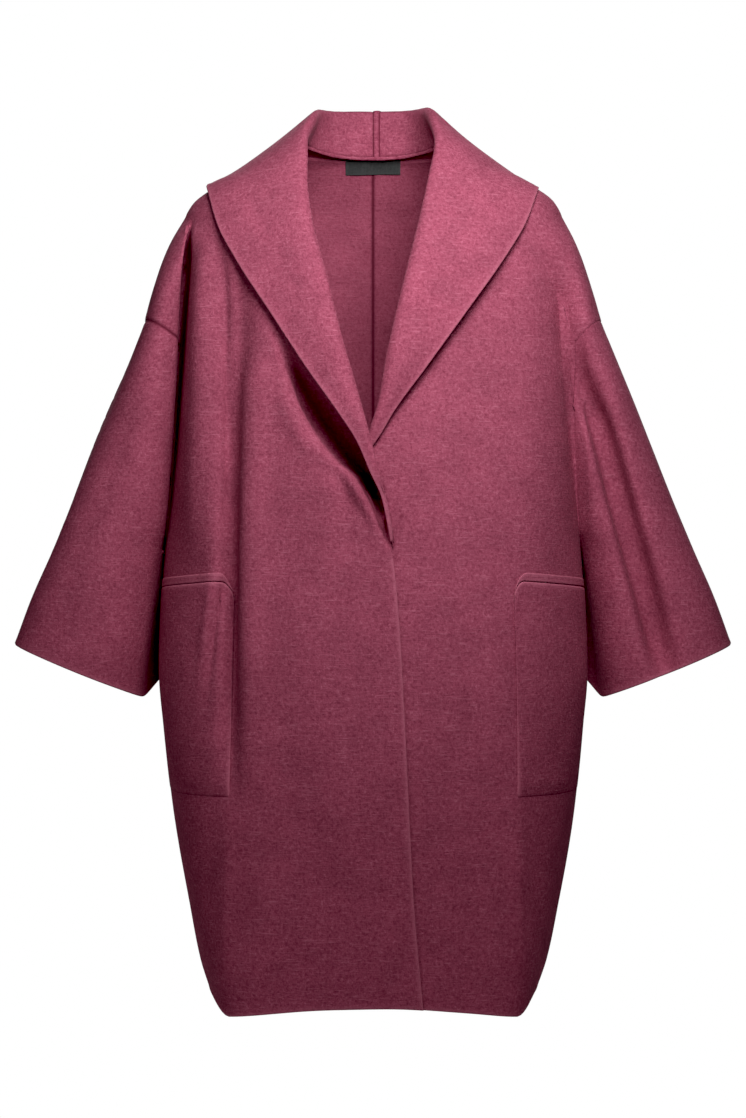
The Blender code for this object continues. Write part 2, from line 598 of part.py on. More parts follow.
def make_collar(side, wool):
    """Half of the shawl collar: it stands from the neckline, rolls over and falls to its free edge."""
    neck, ways = neck_line(side)
    roll, edge = collar_line(side, "roll", ways), collar_line(side, "edge", ways)
    over = unit(unit(edge - roll) - unit(neck - roll))
    width = np.linalg.norm(edge - roll, axis=1, keepdims=True)
    reach = np.minimum(ROLL_ROUNDNESS, ROLL_REACH_SHARE * width)
    t = np.linspace(0, 1, STAND_ROWS + 1)
    stand = hermite(neck, STAND_PULL * (roll - neck), roll, over * reach, t)
    t = np.linspace(0, 1, FALL_ROWS + 1) ** FALL_SPACING
    fall = hermite(roll, over * reach * FALL_PULL, edge, FALL_END_PULL * (edge - roll), t)
    fall[..., 2] -= read(COLLAR[side], "sag", ways, "way") * (4 * t * (1 - t))[:, None]
    fall = lay_on_panels(fall, t, side)
    net = np.vstack([stand, fall[1:]])
    net[:, 0, 0] = SEAM / 2
    net[..., 0] *= side
    along, across = np.gradient(net, axis=1), np.gradient(net, axis=0)
    normals = np.cross(along, across) * -side
    normals[:, 0, 0] = 0
    normals = unit(normals)
    return wall_mesh("collar_" + side_name(side), net, net - CLOTH * normals, wool)


def lay_on_panels(fall, t, side):
    """Keeps the collar's fall clear of the panels that it lies on."""
    laid = fall.copy()
    half, z = np.abs(fall[..., 0]), fall[..., 2]
    laid_share = ease(t, 0, COLLAR_LAID_FROM)[:, None]
    clear = COLLAR_CLEARANCE * laid_share + UNLAID_CLEARANCE * (1 - laid_share)
    for face in (FRONT, BACK):
        lap = lap_lift(fall[..., 0], z, face, side)
        under = torso_depth(half, z, face) + lap + clear
        kept = soft_max(face * fall[..., 1], under, COLLAR_LAID_SOFTNESS)
        laid[..., 1] = np.where(face * fall[..., 1] > 0, face * kept, laid[..., 1])
    return laid


def pocket_columns():
    """The front's columns that a pocket covers, from its inner edge to the side seam."""
    u = np.linspace(0, 1, FRONT_COLUMNS + SIDE_COLUMNS + 1)[FRONT_COLUMNS:]
    u[-1] = u[-2] + (u[-1] - u[-2]) * POCKET_SIDE_SHARE
    return u, np.linspace(0, 1, len(u))


def mouth_height(share):
    """Height of the pocket's mouth, from its inner corner (share 0) to the side seam."""
    corner = np.clip(1 - share / POCKET_CORNER_SHARE, 0, 1) ** POCKET_CORNER_CURVE
    return POCKET_TOP - POCKET_SIDE_DROP * share - POCKET_CORNER_DROP * corner


def lay_on_front(name, u, z, side, gap, cloth, material):
    """A piece that lies on a front, made from the front's own points moved out."""
    points, normals = panel_frame(u, z, FRONT, side)
    return wall_mesh(name, points + (gap + cloth) * normals, points + gap * normals, material)


def make_pocket(side, wool):
    """A patch pocket, and the welt that edges its mouth."""
    u, share = pocket_columns()
    mouth = mouth_height(share)
    below = [height for height in ROWS if POCKET_BOTTOM <= height < POCKET_FIRST_ROW]
    z = np.array([mouth] + [np.full_like(mouth, height) for height in below])
    across = np.repeat(u[None, :], len(z), axis=0)
    lay_on_front("pocket_" + side_name(side), across, z, side, POCKET_GAP, POCKET_CLOTH, wool)
    corner = np.clip(1 - share / POCKET_CORNER_SHARE, 0, 1)
    tall = WELT_HEIGHT + (WELT_CORNER_HEIGHT - WELT_HEIGHT) * corner
    z = np.array([mouth + tall, mouth + (tall + MOUTH_GAP) / 2, mouth + MOUTH_GAP])
    across = np.repeat(u[None, :], len(z), axis=0)
    lay_on_front("pocket_welt_" + side_name(side), across, z, side, POCKET_GAP, WELT_CLOTH, wool)


def make_label(tape):
    """A plain label against the inside of the back, under the neck seam."""
    x = np.repeat(np.linspace(-LABEL_WIDTH / 2, LABEL_WIDTH / 2, LABEL_COLUMNS + 1)[None, :], 2, axis=0)
    z = np.repeat(np.array([[LABEL_TOP], [LABEL_TOP - LABEL_HEIGHT]]), LABEL_COLUMNS + 1, axis=1)
    y = torso_depth(np.abs(x), z, BACK) - CLOTH - LABEL_GAP
    behind = np.stack([x, y, z], axis=-1)
    return wall_mesh("label", behind - np.array([0, LABEL_CLOTH, 0]), behind, tape)


def make_materials():
    """The wool and the label's woven tape."""
    made = []
    wool = ("wool", WOOL_COLOUR, WOOL_ROUGHNESS)
    tape = ("label_tape", TAPE_COLOUR, TAPE_ROUGHNESS)
    for name, colour, rough in (wool, tape):
        material = bpy.data.materials.new(name)
        material.use_nodes = True
        shader = material.node_tree.nodes["Principled BSDF"]
        shader.inputs["Base Color"].default_value = colour
        shader.inputs["Roughness"].default_value = rough
        shader.inputs["Metallic"].default_value = 0.0
        made.append(material)
    return made


def main():
    """Makes the coat's pieces."""
    for item in list(bpy.data.objects):
        bpy.data.objects.remove(item)
    bpy.context.scene.collection.children.link(bpy.data.collections.new("cocoon_coat"))
    wool, tape = make_materials()
    for side in (RIGHT, LEFT):
        make_panel(FRONT, side, wool)
        make_panel(BACK, side, wool)
        make_sleeve(side, wool)
        make_collar(side, wool)
        make_pocket(side, wool)
    make_label(tape)


main()
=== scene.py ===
"""Looks of a knee-length cocoon coat in thick double-faced wool.

Metres, +Z up. The front faces -Y, the wearer's left is +X and the origin is at the base of the neck.
The worn form repeats the solids' own sections, drawn finer and with the cloth's smaller creases.
"""

import logging
import math
from dataclasses import dataclass
from enum import Enum
from typing import NamedTuple

import bpy
import numpy as np
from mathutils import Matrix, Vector


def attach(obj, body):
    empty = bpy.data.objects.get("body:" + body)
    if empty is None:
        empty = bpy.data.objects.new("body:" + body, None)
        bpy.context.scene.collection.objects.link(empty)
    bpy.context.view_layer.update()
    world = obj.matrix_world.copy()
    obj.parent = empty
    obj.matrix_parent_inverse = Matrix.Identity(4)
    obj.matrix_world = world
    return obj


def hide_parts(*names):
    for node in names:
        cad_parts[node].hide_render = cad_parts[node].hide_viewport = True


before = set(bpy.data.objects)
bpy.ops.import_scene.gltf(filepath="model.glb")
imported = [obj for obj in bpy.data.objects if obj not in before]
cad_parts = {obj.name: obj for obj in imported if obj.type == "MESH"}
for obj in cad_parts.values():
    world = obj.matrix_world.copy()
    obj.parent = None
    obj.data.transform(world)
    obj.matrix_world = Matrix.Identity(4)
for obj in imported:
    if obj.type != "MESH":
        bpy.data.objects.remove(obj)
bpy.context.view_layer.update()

LOG = logging.getLogger("coat")
BODY_NAME = "root"
Colour = tuple[float, float, float, float]
Place = tuple[float, float, float]
Span = tuple[float, float]
Array = np.ndarray
Piece = bpy.types.Object
Finish = bpy.types.Material
Node = bpy.types.Node
Socket = bpy.types.NodeSocket
NodeTree = bpy.types.NodeTree
# Keeps a division from meeting a zero length
TINY = 1e-12
# A way longer than any piece, for points that are near no such edge
NOWHERE = 1.0
# Masks on the pieces: 1 on a turned edge, painted paler partly for wear and partly as a painted highlight,
# and 1 in a seam, painted darker as painted shade
EDGE_MASKS = ("turned_edge", "sewn_edge")


# Choices


class Side(Enum):
    """Sides of the wearer, as the sign of X; the right front laps over the left one."""

    RIGHT = -1
    LEFT = 1


class Face(Enum):
    """Faces of the coat, as the sign of Y."""

    FRONT = -1
    BACK = 1


class Slot(Enum):
    """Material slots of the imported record."""

    WOOL = "wool"
    TAPE = "label_tape"


class Run(Enum):
    """Which way a crease runs on the cloth."""

    DOWN = "down"
    ACROSS = "across"


OVER, UNDER = Side.RIGHT, Side.LEFT


# The worn form's tables


class BodySection(NamedTuple):
    """A level cut of the body: half width, depths and how square it is before and behind."""

    height: float
    half_width: float
    front: float
    back: float
    square: float
    back_square: float


class ArmSection(NamedTuple):
    """A level cut of a sleeve."""

    height: float
    outer: float
    inner: float
    depth: float


class LinePoint(NamedTuple):
    """A point of a line down the cloth: half width at a height."""

    height: float
    half_width: float


class Lap(NamedTuple):
    """How far the over front stands off the under one at a height."""

    height: float
    lift: float


class Fold(NamedTuple):
    """A large straight fold of the worn form, sunk or raised along Y."""

    face: Face
    side: Side
    top_x: float
    top_z: float
    foot_x: float
    foot_z: float
    depth: float
    half_width: float
    ease: float


class Station(NamedTuple):
    """A station of the collar: its roll, its free edge, and how far the fall sags between them."""

    way: float
    roll_x: float
    roll_y: float
    roll_z: float
    roll_lift: float | None
    edge_x: float
    edge_y: float
    edge_z: float
    edge_lift: float | None
    sag: float


class Sink(NamedTuple):
    """The deep line between body and sleeve at a height: its place, depth and half width."""

    height: float
    half_width: float
    depth: float
    spread: float


class CreasePoint(NamedTuple):
    """A point of a crease: place along and across its run, height of the cloth there, half width."""

    along: float
    across: float
    height: float
    half_width: float


class Dent(NamedTuple):
    """A small soft dent in the collar, by its place in front view or behind."""

    face: Face
    x: float
    z: float
    depth: float
    radius: float


class Crease(NamedTuple):
    """A crease on one face of the coat; lean widens its side towards +X or +Z, 2 is soft and 4 steep."""

    face: Face
    run: Run
    lean: float
    steepness: float
    points: tuple[CreasePoint, ...]


def table_of(kind: type, *values: tuple) -> tuple:
    """Rows of a table, all of one kind."""
    return tuple(kind(*row) for row in values)


BODY = table_of(
    BodySection,
    (0.024, 0.084, 0.03, 0.05, 2.0, 2.0),
    (0.016, 0.098, 0.045, 0.07, 2.0, 2.0),
    (0.0, 0.13, 0.06, 0.082, 2.1, 2.0),
    (-0.032, 0.198, 0.08, 0.098, 2.2, 2.1),
    (-0.045, 0.214, 0.088, 0.104, 2.3, 2.2),
    (-0.065, 0.224, 0.097, 0.111, 2.4, 2.3),
    (-0.1, 0.2275, 0.111, 0.121, 2.4, 2.4),
    (-0.16, 0.229, 0.127, 0.135, 2.4, 2.4),
    (-0.21, 0.2305, 0.137, 0.147, 2.4, 2.4),
    (-0.28, 0.2345, 0.147, 0.16, 2.4, 2.4),
    (-0.4, 0.2415, 0.16, 0.177, 2.5, 2.4),
    (-0.46, 0.245, 0.165, 0.184, 2.5, 2.4),
    (-0.52, 0.25, 0.169, 0.19, 2.6, 2.4),
    (-0.6, 0.2535, 0.172, 0.194, 2.7, 2.4),
    (-0.66, 0.2492, 0.172, 0.194, 2.8, 2.5),
    (-0.75, 0.2385, 0.168, 0.187, 3.2, 2.6),
    (-0.867, 0.2178, 0.157, 0.17, 4.6, 3.0),
    (-0.94, 0.2035, 0.149, 0.157, 6.5, 3.4),
    (-0.975, 0.192, 0.145, 0.15, 8.0, 3.6),
)

ARM = table_of(
    ArmSection,
    (-0.065, 0.225, 0.1, 0.05),
    (-0.0885, 0.238, 0.155, 0.056),
    (-0.112, 0.248, 0.183, 0.059),
    (-0.136, 0.256, 0.201, 0.061),
    (-0.159, 0.263, 0.212, 0.062),
    (-0.185, 0.2705, 0.215, 0.063),
    (-0.2124, 0.2814, 0.2155, 0.064),
    (-0.277, 0.3074, 0.2195, 0.066),
    (-0.336, 0.3304, 0.2245, 0.068),
    (-0.395, 0.3534, 0.23, 0.069),
    (-0.43, 0.3677, 0.2362, 0.07),
    (-0.455, 0.378, 0.2446, 0.07),
    (-0.513, 0.403, 0.2543, 0.07),
    (-0.561, 0.421, 0.26, 0.07),
    (-0.64, 0.452, 0.269, 0.069),
)

TURN_LINE = table_of(
    LinePoint,
    (0.024, 0.082), (0.0, 0.105), (-0.04, 0.135), (-0.1, 0.149), (-0.2, 0.154),
    (-0.4, 0.157), (-0.6, 0.161), (-0.735, 0.163), (-0.85, 0.167), (-0.975, 0.175),
)

SHOULDER_LINE = table_of(
    LinePoint,
    (0.024, 0.083), (0.0, 0.118), (-0.04, 0.178), (-0.1, 0.206), (-0.15, 0.216),
    (-0.185, 0.221), (-0.2124, 0.226),
)

INNER_EDGE = {
    OVER: table_of(
        LinePoint,
        (0.024, 0.079), (0.005, 0.087), (-0.039, 0.086), (-0.074, 0.08), (-0.145, 0.0615),
        (-0.234, 0.039), (-0.291, 0.021), (-0.328, 0.011), (-0.373, 0.0),
        (-0.4, -0.009), (-0.425, -0.0162), (-0.51, -0.0275), (-0.64, -0.0355),
        (-0.735, -0.04), (-0.85, -0.046), (-0.975, -0.057),
    ),
    UNDER: table_of(
        LinePoint,
        (0.024, 0.079), (0.005, 0.083), (-0.039, 0.073), (-0.074, 0.065), (-0.145, 0.048),
        (-0.234, 0.0265), (-0.291, 0.0135), (-0.328, 0.0015), (-0.35, -0.007),
        (-0.421, -0.018), (-0.51, -0.029), (-0.64, -0.0365), (-0.735, -0.0405),
        (-0.85, -0.046), (-0.975, -0.057),
    ),
}

LAP = table_of(
    Lap,
    (0.024, 0.0), (-0.2, 0.0), (-0.31, 0.012), (-0.39, 0.01), (-0.46, 0.0055),
    (-0.6, 0.004), (-0.975, 0.0036),
)

FOLDS = table_of(
    Fold,
    (Face.FRONT, Side.RIGHT, 0.149, -0.06, 0.163, -0.77, -0.016, 0.015, 0.2),
    (Face.FRONT, Side.RIGHT, 0.1, -0.215, 0.024, -0.39, -0.018, 0.022, 0.06),
    (Face.FRONT, Side.RIGHT, 0.162, -0.69, 0.174, -0.985, 0.004, 0.011, 0.11),
    (Face.FRONT, Side.LEFT, 0.162, -0.69, 0.174, -0.985, 0.005, 0.011, 0.11),
    (Face.FRONT, Side.LEFT, 0.236, -0.215, 0.352, -0.645, -0.026, 0.016, 0.09),
    (Face.BACK, Side.RIGHT, 0.125, -0.18, 0.135, -0.76, -0.009, 0.026, 0.18),
    (Face.BACK, Side.LEFT, 0.14, -0.15, 0.128, -0.7, -0.008, 0.024, 0.18),
    (Face.BACK, Side.RIGHT, 0.27, -0.23, 0.34, -0.62, -0.014, 0.018, 0.11),
    (Face.BACK, Side.LEFT, 0.264, -0.23, 0.326, -0.63, -0.016, 0.017, 0.11),
)

NECK_STATIONS = table_of(
    Station,
    (-0.079, 0.0, 0.086, 0.0725, None, 0.0, 0.118, -0.062, None, 0.0),
    (-0.04, 0.042, 0.073, 0.072, None, 0.085, 0.112, -0.059, None, 0.0),
    (-0.008, 0.063, 0.04, 0.07, None, 0.16, 0.08, -0.037, None, 0.004),
    (0.002, 0.067, 0.024, 0.067, None, 0.184, 0.042, -0.027, None, 0.009),
    (0.012, 0.07, 0.003, 0.061, None, 0.195, 0.006, -0.0275, None, 0.013),
)
COLLAR = {
    OVER: NECK_STATIONS + table_of(
        Station,
        (0.04, 0.081, -0.044, 0.027, None, 0.1912, -0.036, -0.041, None, 0.008),
        (0.083, 0.081, 0.0, -0.02, 0.012, 0.179, 0.0, -0.081, 0.009, 0.0),
        (0.12, 0.0755, 0.0, -0.066, 0.012, 0.156, 0.0, -0.124, 0.008, 0.0),
        (0.19, 0.056, 0.0, -0.143, 0.013, 0.118, 0.0, -0.183, 0.009, 0.0),
        (0.28, 0.0335, 0.0, -0.233, 0.014, 0.072, 0.0, -0.254, 0.011, 0.0),
        (0.337, 0.016, 0.0, -0.29, 0.013, 0.039, 0.0, -0.301, 0.012, 0.0),
        (0.374, 0.005, 0.0, -0.327, 0.013, 0.019, 0.0, -0.332, 0.013, 0.0),
        (0.417, -0.0058, 0.0, -0.37, 0.009, 0.0016, 0.0, -0.3718, 0.01, 0.0),
        (0.44, -0.0118, 0.0, -0.393, 0.006, -0.0086, 0.0, -0.3938, 0.0062, 0.0),
        (0.466, -0.0172, 0.0, -0.419, 0.004, -0.0148, 0.0, -0.4194, 0.004, 0.0),
        (0.492, -0.0208, 0.0, -0.445, 0.0014, -0.0196, 0.0, -0.4452, 0.0014, 0.0),
    ),
    UNDER: NECK_STATIONS + table_of(
        Station,
        (0.04, 0.077, -0.044, 0.027, None, 0.1904, -0.036, -0.041, None, 0.008),
        (0.083, 0.07, 0.0, -0.02, 0.012, 0.176, 0.0, -0.078, 0.009, 0.0),
        (0.12, 0.0606, 0.0, -0.066, 0.012, 0.15, 0.0, -0.121, 0.008, 0.0),
        (0.19, 0.0425, 0.0, -0.143, 0.012, 0.109, 0.0, -0.18, 0.008, 0.0),
        (0.28, 0.021, 0.0, -0.233, 0.012, 0.059, 0.0, -0.25, 0.008, 0.0),
        (0.337, 0.0085, 0.0, -0.29, 0.01, 0.024, 0.0, -0.298, 0.007, 0.0),
        (0.366, -0.002, 0.0, -0.32, 0.007, 0.0085, 0.0, -0.3245, 0.0055, 0.0),
        (0.38, -0.006, 0.0, -0.335, 0.005, 0.0, 0.0, -0.337, 0.0045, 0.0),
    ),
}

CENTRE_BACK = NECK_STATIONS[0].way

SINK = {
    Side.RIGHT: table_of(
        Sink,
        (-0.064, 0.213, 0.0, 0.0016), (-0.076, 0.213, 0.006, 0.0018),
        (-0.086, 0.2132, 0.016, 0.0022), (-0.1, 0.2136, 0.028, 0.0032),
        (-0.13, 0.2148, 0.04, 0.0046), (-0.168, 0.2168, 0.044, 0.0052),
        (-0.237, 0.2204, 0.044, 0.0052), (-0.306, 0.225, 0.04, 0.005),
        (-0.375, 0.2306, 0.034, 0.0046), (-0.43, 0.2378, 0.022, 0.004),
        (-0.455, 0.2446, 0.012, 0.0034),
    ),
    Side.LEFT: table_of(
        Sink,
        (-0.1, 0.231, 0.0, 0.012), (-0.2, 0.233, 0.002, 0.012),
        (-0.3, 0.2345, 0.004, 0.012), (-0.4, 0.239, 0.004, 0.01),
        (-0.455, 0.2446, 0.0, 0.009),
    ),
}

# Smaller creases: those in front follow the photograph, those behind are alike
CREASES = (
    # Hollow under the over lapel
    Crease(Face.FRONT, Run.DOWN, -0.3, 4.0, table_of(
        CreasePoint,
        (-0.2, -0.112, 0.0, 0.006), (-0.235, -0.096, -0.006, 0.007),
        (-0.26, -0.083, -0.016, 0.009), (-0.291, -0.063, -0.03, 0.0155),
        (-0.322, -0.041, -0.038, 0.019), (-0.354, -0.021, -0.048, 0.015),
        (-0.37, -0.008, -0.052, 0.012), (-0.402, 0.006, -0.046, 0.008),
        (-0.42, 0.0105, -0.03, 0.0056), (-0.436, 0.0145, -0.011, 0.004),
        (-0.452, 0.018, 0.0, 0.0032),
    )),
    # Dip beside the front edge, below the lapels' break
    Crease(Face.FRONT, Run.DOWN, 0.3, 2.0, table_of(
        CreasePoint,
        (-0.352, -0.044, 0.0, 0.006), (-0.386, -0.033, -0.0045, 0.008),
        (-0.415, -0.03, -0.0035, 0.009), (-0.47, -0.031, 0.0, 0.01),
    )),
    # Crease over the right pocket
    Crease(Face.FRONT, Run.DOWN, 0.5, 2.0, table_of(
        CreasePoint,
        (-0.484, -0.172, 0.0, 0.005), (-0.508, -0.1755, -0.0085, 0.0045),
        (-0.555, -0.1832, -0.008, 0.005), (-0.605, -0.1866, -0.0045, 0.0065),
        (-0.68, -0.19, 0.0, 0.01),
    )),
    # Trough down the right front
    Crease(Face.FRONT, Run.DOWN, -0.35, 2.0, table_of(
        CreasePoint,
        (-0.085, -0.178, 0.0, 0.01), (-0.126, -0.174, -0.004, 0.011),
        (-0.197, -0.17, -0.008, 0.012), (-0.29, -0.167, -0.0095, 0.012),
        (-0.385, -0.164, -0.0095, 0.012), (-0.5, -0.161, -0.0075, 0.012),
        (-0.64, -0.16, -0.004, 0.012), (-0.76, -0.158, 0.0, 0.012),
    )),
    # Ridge on that trough's outer side
    Crease(Face.FRONT, Run.DOWN, 0.0, 2.0, table_of(
        CreasePoint,
        (-0.07, -0.196, 0.0, 0.012), (-0.12, -0.197, 0.006, 0.014),
        (-0.2, -0.199, 0.009, 0.015), (-0.3, -0.201, 0.009, 0.016),
        (-0.4, -0.205, 0.006, 0.016), (-0.48, -0.206, 0.0, 0.016),
    )),
    # Ridge on its inner side
    Crease(Face.FRONT, Run.DOWN, 0.4, 2.0, table_of(
        CreasePoint,
        (-0.21, -0.138, 0.0, 0.01), (-0.29, -0.14, 0.0065, 0.01),
        (-0.4, -0.14, 0.0085, 0.01), (-0.54, -0.14, 0.007, 0.011),
        (-0.72, -0.139, 0.0, 0.013),
    )),
    # Trough down the left sleeve
    Crease(Face.FRONT, Run.DOWN, 0.5, 2.0, table_of(
        CreasePoint,
        (-0.19, 0.236, 0.0, 0.006), (-0.24, 0.2385, -0.006, 0.0075),
        (-0.318, 0.264, -0.009, 0.008), (-0.41, 0.2885, -0.01, 0.008),
        (-0.535, 0.3225, -0.008, 0.0085), (-0.6, 0.338, 0.0, 0.01),
    )),
    # Crease down the right sleeve
    Crease(Face.FRONT, Run.DOWN, 0.2, 2.0, table_of(
        CreasePoint,
        (-0.24, -0.262, 0.0, 0.01), (-0.33, -0.292, -0.0022, 0.012),
        (-0.45, -0.338, -0.003, 0.013), (-0.58, -0.372, 0.0, 0.014),
    )),
    # Troughs down the two halves of the back
    Crease(Face.BACK, Run.DOWN, 0.4, 2.0, table_of(
        CreasePoint,
        (-0.22, -0.058, 0.0, 0.012), (-0.36, -0.064, -0.0045, 0.015),
        (-0.56, -0.06, -0.005, 0.016), (-0.88, -0.052, 0.0, 0.018),
    )),
    Crease(Face.BACK, Run.DOWN, -0.3, 2.0, table_of(
        CreasePoint,
        (-0.26, 0.082, 0.0, 0.012), (-0.43, 0.074, -0.004, 0.016),
        (-0.62, 0.07, -0.005, 0.015), (-0.84, 0.066, 0.0, 0.018),
    )),
    # Ridges to the hem's corners behind
    Crease(Face.BACK, Run.DOWN, 0.3, 2.0, table_of(
        CreasePoint,
        (-0.48, -0.178, 0.0, 0.01), (-0.64, -0.186, 0.0045, 0.012),
        (-0.84, -0.176, 0.005, 0.011), (-0.975, -0.166, 0.003, 0.011),
    )),
    Crease(Face.BACK, Run.DOWN, -0.3, 2.0, table_of(
        CreasePoint,
        (-0.52, 0.186, 0.0, 0.01), (-0.68, 0.184, 0.004, 0.012), (-0.86, 0.172, 0.005, 0.011),
        (-0.975, 0.164, 0.003, 0.011),
    )),
    # Creases down the backs of the sleeves
    Crease(Face.BACK, Run.DOWN, 0.4, 2.0, table_of(
        CreasePoint,
        (-0.23, -0.276, 0.0, 0.008), (-0.32, -0.3, -0.005, 0.009),
        (-0.45, -0.33, -0.006, 0.01), (-0.59, -0.352, 0.0, 0.012),
    )),
    Crease(Face.BACK, Run.DOWN, -0.4, 2.0, table_of(
        CreasePoint,
        (-0.25, 0.282, 0.0, 0.008), (-0.35, 0.312, -0.0045, 0.01),
        (-0.47, 0.346, -0.0055, 0.01), (-0.58, 0.372, 0.0, 0.012),
    )),
    # Creases across the back, under the arms
    Crease(Face.BACK, Run.ACROSS, 0.3, 2.0, table_of(
        CreasePoint,
        (-0.2, -0.33, 0.0, 0.016), (-0.15, -0.342, -0.0022, 0.018),
        (-0.08, -0.35, -0.0018, 0.019), (-0.02, -0.352, 0.0, 0.02),
    )),
    Crease(Face.BACK, Run.ACROSS, 0.3, 2.0, table_of(
        CreasePoint,
        (0.03, -0.3, 0.0, 0.02), (0.1, -0.292, -0.0018, 0.019),
        (0.165, -0.276, -0.0022, 0.018), (0.21, -0.262, 0.0, 0.016),
    )),
)

DENTS = table_of(
    Dent,
    (Face.FRONT, -0.137, -0.062, 0.0022, 0.01), (Face.FRONT, -0.12, -0.045, 0.0016, 0.008),
    (Face.FRONT, -0.126, -0.086, 0.0018, 0.009), (Face.FRONT, -0.089, -0.152, 0.0018, 0.009),
    (Face.FRONT, -0.104, -0.12, 0.0014, 0.011), (Face.FRONT, 0.118, -0.07, 0.0012, 0.012),
    (Face.FRONT, 0.072, -0.168, 0.0012, 0.011), (Face.BACK, -0.075, -0.01, 0.002, 0.014),
    (Face.BACK, 0.06, 0.004, 0.0016, 0.012), (Face.BACK, 0.11, -0.02, 0.0018, 0.013),
)


# Small tools


def smooth_line(places: list[float], values: list[float], at: Array) -> Array:
    """Reads a table smoothly, with no overshoot between its rows.

    Args:
        places: Where the rows stand.
        values: What the rows hold.
        at: Where to read; past the ends the end rows hold.

    Returns:
        The values there.
    """
    order = np.argsort(places)
    x, y = np.asarray(places, float)[order], np.asarray(values, float)[order]
    run = np.diff(x)
    slope = np.diff(y) / run
    tangent = np.zeros_like(x)
    tangent[0], tangent[-1] = slope[0], slope[-1]
    same_way = slope[:-1] * slope[1:] > 0
    w1, w2 = 2 * run[1:] + run[:-1], run[1:] + 2 * run[:-1]
    before, after = np.where(same_way, slope[:-1], 1.0), np.where(same_way, slope[1:], 1.0)
    tangent[1:-1] = np.where(same_way, (w1 + w2) / (w1 / before + w2 / after), 0.0)
    at = np.clip(np.asarray(at, float), x[0], x[-1])
    k = np.clip(np.searchsorted(x, at) - 1, 0, len(run) - 1)
    t = (at - x[k]) / run[k]
    start = (1 + 2 * t) * (1 - t) ** 2 * y[k] + t * (1 - t) ** 2 * run[k] * tangent[k]
    end = t**2 * (3 - 2 * t) * y[k + 1] + t**2 * (t - 1) * run[k] * tangent[k + 1]
    return start + end


def read(table: tuple, column: str, at: Array, key: str = "height") -> Array:
    """Reads one column of a table of named rows.

    Args:
        table: The rows.
        column: The column to read.
        at: Where to read.
        key: The column that places the rows.

    Returns:
        The column's values there.
    """
    return smooth_line([getattr(row, key) for row in table], [getattr(row, column) for row in table], at)


def ease(value: Array, start: float, full: float) -> Array:
    """A soft ramp, 0 at start and 1 at full."""
    t = np.clip((np.asarray(value, float) - start) / (full - start), 0.0, 1.0)
    return t * t * (3 - 2 * t)


def unit(vectors: Array) -> Array:
    """Vectors brought to length 1."""
    return vectors / np.maximum(np.linalg.norm(vectors, axis=-1, keepdims=True), TINY)


def soft_max(a: Array, b: Array, soft: float) -> Array:
    """The larger of two depths, rounded where they cross."""
    return np.maximum(a, b) + np.clip(soft - np.abs(a - b), 0, None) ** 2 / (4 * soft)


def hermite(start: Array, leave: Array, end: Array, arrive: Array, t: Array) -> Array:
    """Points of curves that leave and arrive with the given pulls.

    Args:
        start: Start of each curve.
        leave: Pull at each start.
        end: End of each curve.
        arrive: Pull at each end.
        t: Shares along the curves.

    Returns:
        A net, one row for each share and one column for each curve.
    """
    t = t[:, None, None]
    first = (1 + 2 * t) * (1 - t) ** 2 * start + t * (1 - t) ** 2 * leave
    return first + t**2 * (3 - 2 * t) * end + t**2 * (t - 1) * arrive


def net_normals(net: Array, sign: int, ring: bool = False) -> Array:
    """Unit normals of a net of points.

    Args:
        net: Points in rows and columns.
        sign: 1 or -1, whichever points out of the cloth's right side.
        ring: Whether the last column joins the first.

    Returns:
        One normal for each point.
    """
    if ring:
        across = np.roll(net, -1, axis=1) - np.roll(net, 1, axis=1)
    else:
        across = np.gradient(net, axis=1)
    return unit(sign * np.cross(across, np.gradient(net, axis=0)))


def way_from(net: Array, axis: int, end: int) -> Array:
    """Length of cloth from one end of a net's rows or columns.

    Args:
        net: Points in rows and columns.
        axis: 0 to measure down the columns, 1 along the rows.
        end: 0 from the first point, -1 from the last.

    Returns:
        The length at each point.
    """
    steps = np.linalg.norm(np.diff(net, axis=axis), axis=-1)
    if end == -1:
        steps = np.flip(steps, axis)
    total = np.insert(np.cumsum(steps, axis=axis), 0, 0.0, axis=axis)
    return np.flip(total, axis) if end == -1 else total


def close_shares(count: int, first: tuple[float, ...], last: tuple[float, ...]) -> Array:
    """Shares from 0 to 1, close together at the ends.

    Args:
        count: How many even steps lie between the ends.
        first: Shares of the close points at the start.
        last: Shares, counted from the end, of the close points there.

    Returns:
        The shares in order.
    """
    start, stop = max(first), 1 - max(last)
    middle = np.linspace(start, stop, count + 1)[1:-1]
    return np.concatenate([np.sort(first), middle, np.sort(1 - np.array(last))])


# The worn form


